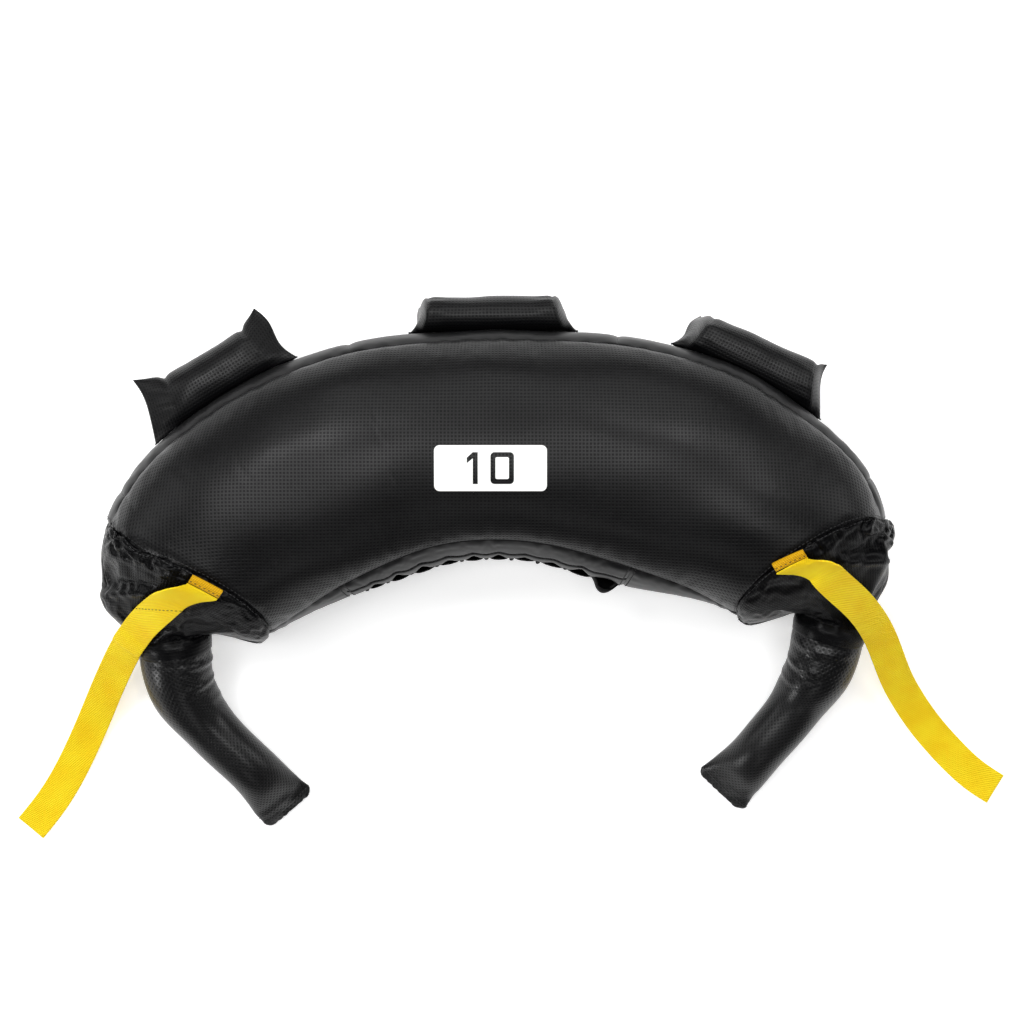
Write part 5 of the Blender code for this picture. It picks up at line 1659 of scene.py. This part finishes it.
def badge():
    """The badge: a flat shape, cut into small cells and dropped onto the front panel."""
    curve = bpy.data.curves.new("badge outline", "CURVE")
    curve.dimensions = "2D"
    curve.fill_mode = "BOTH"
    for outline in badge_outlines():
        line = curve.splines.new("POLY")
        line.points.add(len(outline) - 1)
        line.use_cyclic_u = True
        for spot, (x, y) in zip(line.points, outline):
            spot.co = (x, y, 0.0, 1.0)
    drawn = bpy.data.objects.new("badge outline", curve)
    bpy.context.collection.objects.link(drawn)
    mesh = bpy.data.meshes.new_from_object(drawn.evaluated_get(bpy.context.evaluated_depsgraph_get()))
    bpy.data.objects.remove(drawn)
    shape = bmesh.new()
    shape.from_mesh(mesh)
    low = np.array(BADGE_CENTRE) - BADGE_HALF
    for axis in (0, 1):
        for reach in np.arange(BADGE_STEP, 2 * BADGE_HALF[axis], BADGE_STEP):
            spot, normal = [0.0, 0.0, 0.0], [0.0, 0.0, 0.0]
            spot[axis], normal[axis] = low[axis] + reach, 1.0
            bmesh.ops.bisect_plane(shape, geom=shape.verts[:] + shape.edges[:] + shape.faces[:],
                                   plane_co=spot, plane_no=normal, dist=1e-6)
    vinyl = search_tree(front)
    for vert in shape.verts:
        hit, normal, _, _ = vinyl.ray_cast(Vector((vert.co.x, vert.co.y, 0.4)), Vector((0, 0, -1)))
        vert.co = hit + normal * BADGE_GAP
    bmesh.ops.recalc_face_normals(shape, faces=shape.faces)
    if sum(face.normal.z for face in shape.faces) < 0:
        bmesh.ops.reverse_faces(shape, faces=shape.faces)
    shape.to_mesh(mesh)
    shape.free()
    mesh.shade_smooth()
    mesh.materials.clear()
    mesh.materials.append(print_material())
    piece = bpy.data.objects.new("weight_badge", mesh)
    bpy.context.collection.objects.link(piece)
    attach(piece, "bag")
    return piece


badge_piece = badge()
print("badge faces", len(badge_piece.data.polygons))

# %% [markdown]
# ## Floor and light
# The floor is a large white sheet that glows a little, so the background stays white at the bag's edges.
# Eleven soft rectangles of light hang round the bag. Black vinyl shows little but their reflections: the
# one overhead makes the pale band along the front, the two high ones at the back light the ends of the
# panel and the outer wall, and the low ones reach the inner wall and the arms.

# %% Floor, lamps and sky
FLOOR_HALF, FLOOR_LEVEL, FLOOR_GLOW, SKY_GLOW = 6, -0.0005, 0.34, 0.07
floor_mesh = bpy.data.meshes.new("floor")
corners = [(x * FLOOR_HALF, y * FLOOR_HALF, FLOOR_LEVEL) for x, y in ((-1, -1), (1, -1), (1, 1), (-1, 1))]
floor_mesh.from_pydata(corners, [], [(0, 1, 2, 3)])
floor_material, _, floor_shader = new_finish("matt white paper", "FFFFFF", 0.9)
floor_shader.inputs["Emission Color"].default_value = linear("FFFFFF")
floor_shader.inputs["Emission Strength"].default_value = FLOOR_GLOW
floor_mesh.materials.append(floor_material)
floor = bpy.data.objects.new("floor", floor_mesh)
bpy.context.collection.objects.link(floor)


def lamp(name, place, target, size, watts):
    """A soft rectangle of light that faces a point."""
    data = bpy.data.lights.new(name, "AREA")
    data.shape = "RECTANGLE"
    data.size, data.size_y = size
    data.energy = watts
    made = bpy.data.objects.new(name, data)
    made.location = place
    made.rotation_euler = (Vector(target) - Vector(place)).to_track_quat("-Z", "Y").to_euler()
    bpy.context.collection.objects.link(made)


LIT_POINT = (0.0, -0.05, 0.1)
LAMPS = [                     # place, width and depth, watts
    ("overhead light", (0.0, -0.10, 2.45), (1.3, 0.5), 15),
    ("left overhead light", (-0.85, 0.72, 2.20), (0.7, 0.5), 15),
    ("right overhead light", (0.85, 0.85, 2.20), (0.7, 0.5), 10.5),
    ("left side light", (-1.0, -0.1, 2.3), (0.5, 0.6), 6),
    ("left front light", (-0.78, -0.75, 2.20), (0.45, 0.45), 2.5),
    ("right front light", (0.74, -0.72, 2.20), (0.45, 0.45), 4),
    ("low front light", (0.0, -1.6, 1.2), (0.6, 0.4), 1.2),
    ("low left light", (-1.8, -1.15, 0.7), (0.5, 0.5), 10),
    ("back light", (0.0, 1.7, 1.7), (2.6, 1.4), 23),
    ("left light", (-2.0, 0.6, 1.2), (0.9, 1.2), 8),
    ("right light", (2.0, 0.6, 1.2), (0.9, 1.2), 11.5),
]
for name, place, size, watts in LAMPS:
    lamp(name, place, LIT_POINT, size, watts)
world = bpy.data.worlds.new("studio")
bpy.context.scene.world = world
world.use_nodes = True
world.node_tree.nodes["Background"].inputs["Color"].default_value = linear("FFFFFF")
world.node_tree.nodes["Background"].inputs["Strength"].default_value = SKY_GLOW
bpy.context.scene.view_settings.view_transform = "Standard"
print("lamps", len(bpy.data.lights))
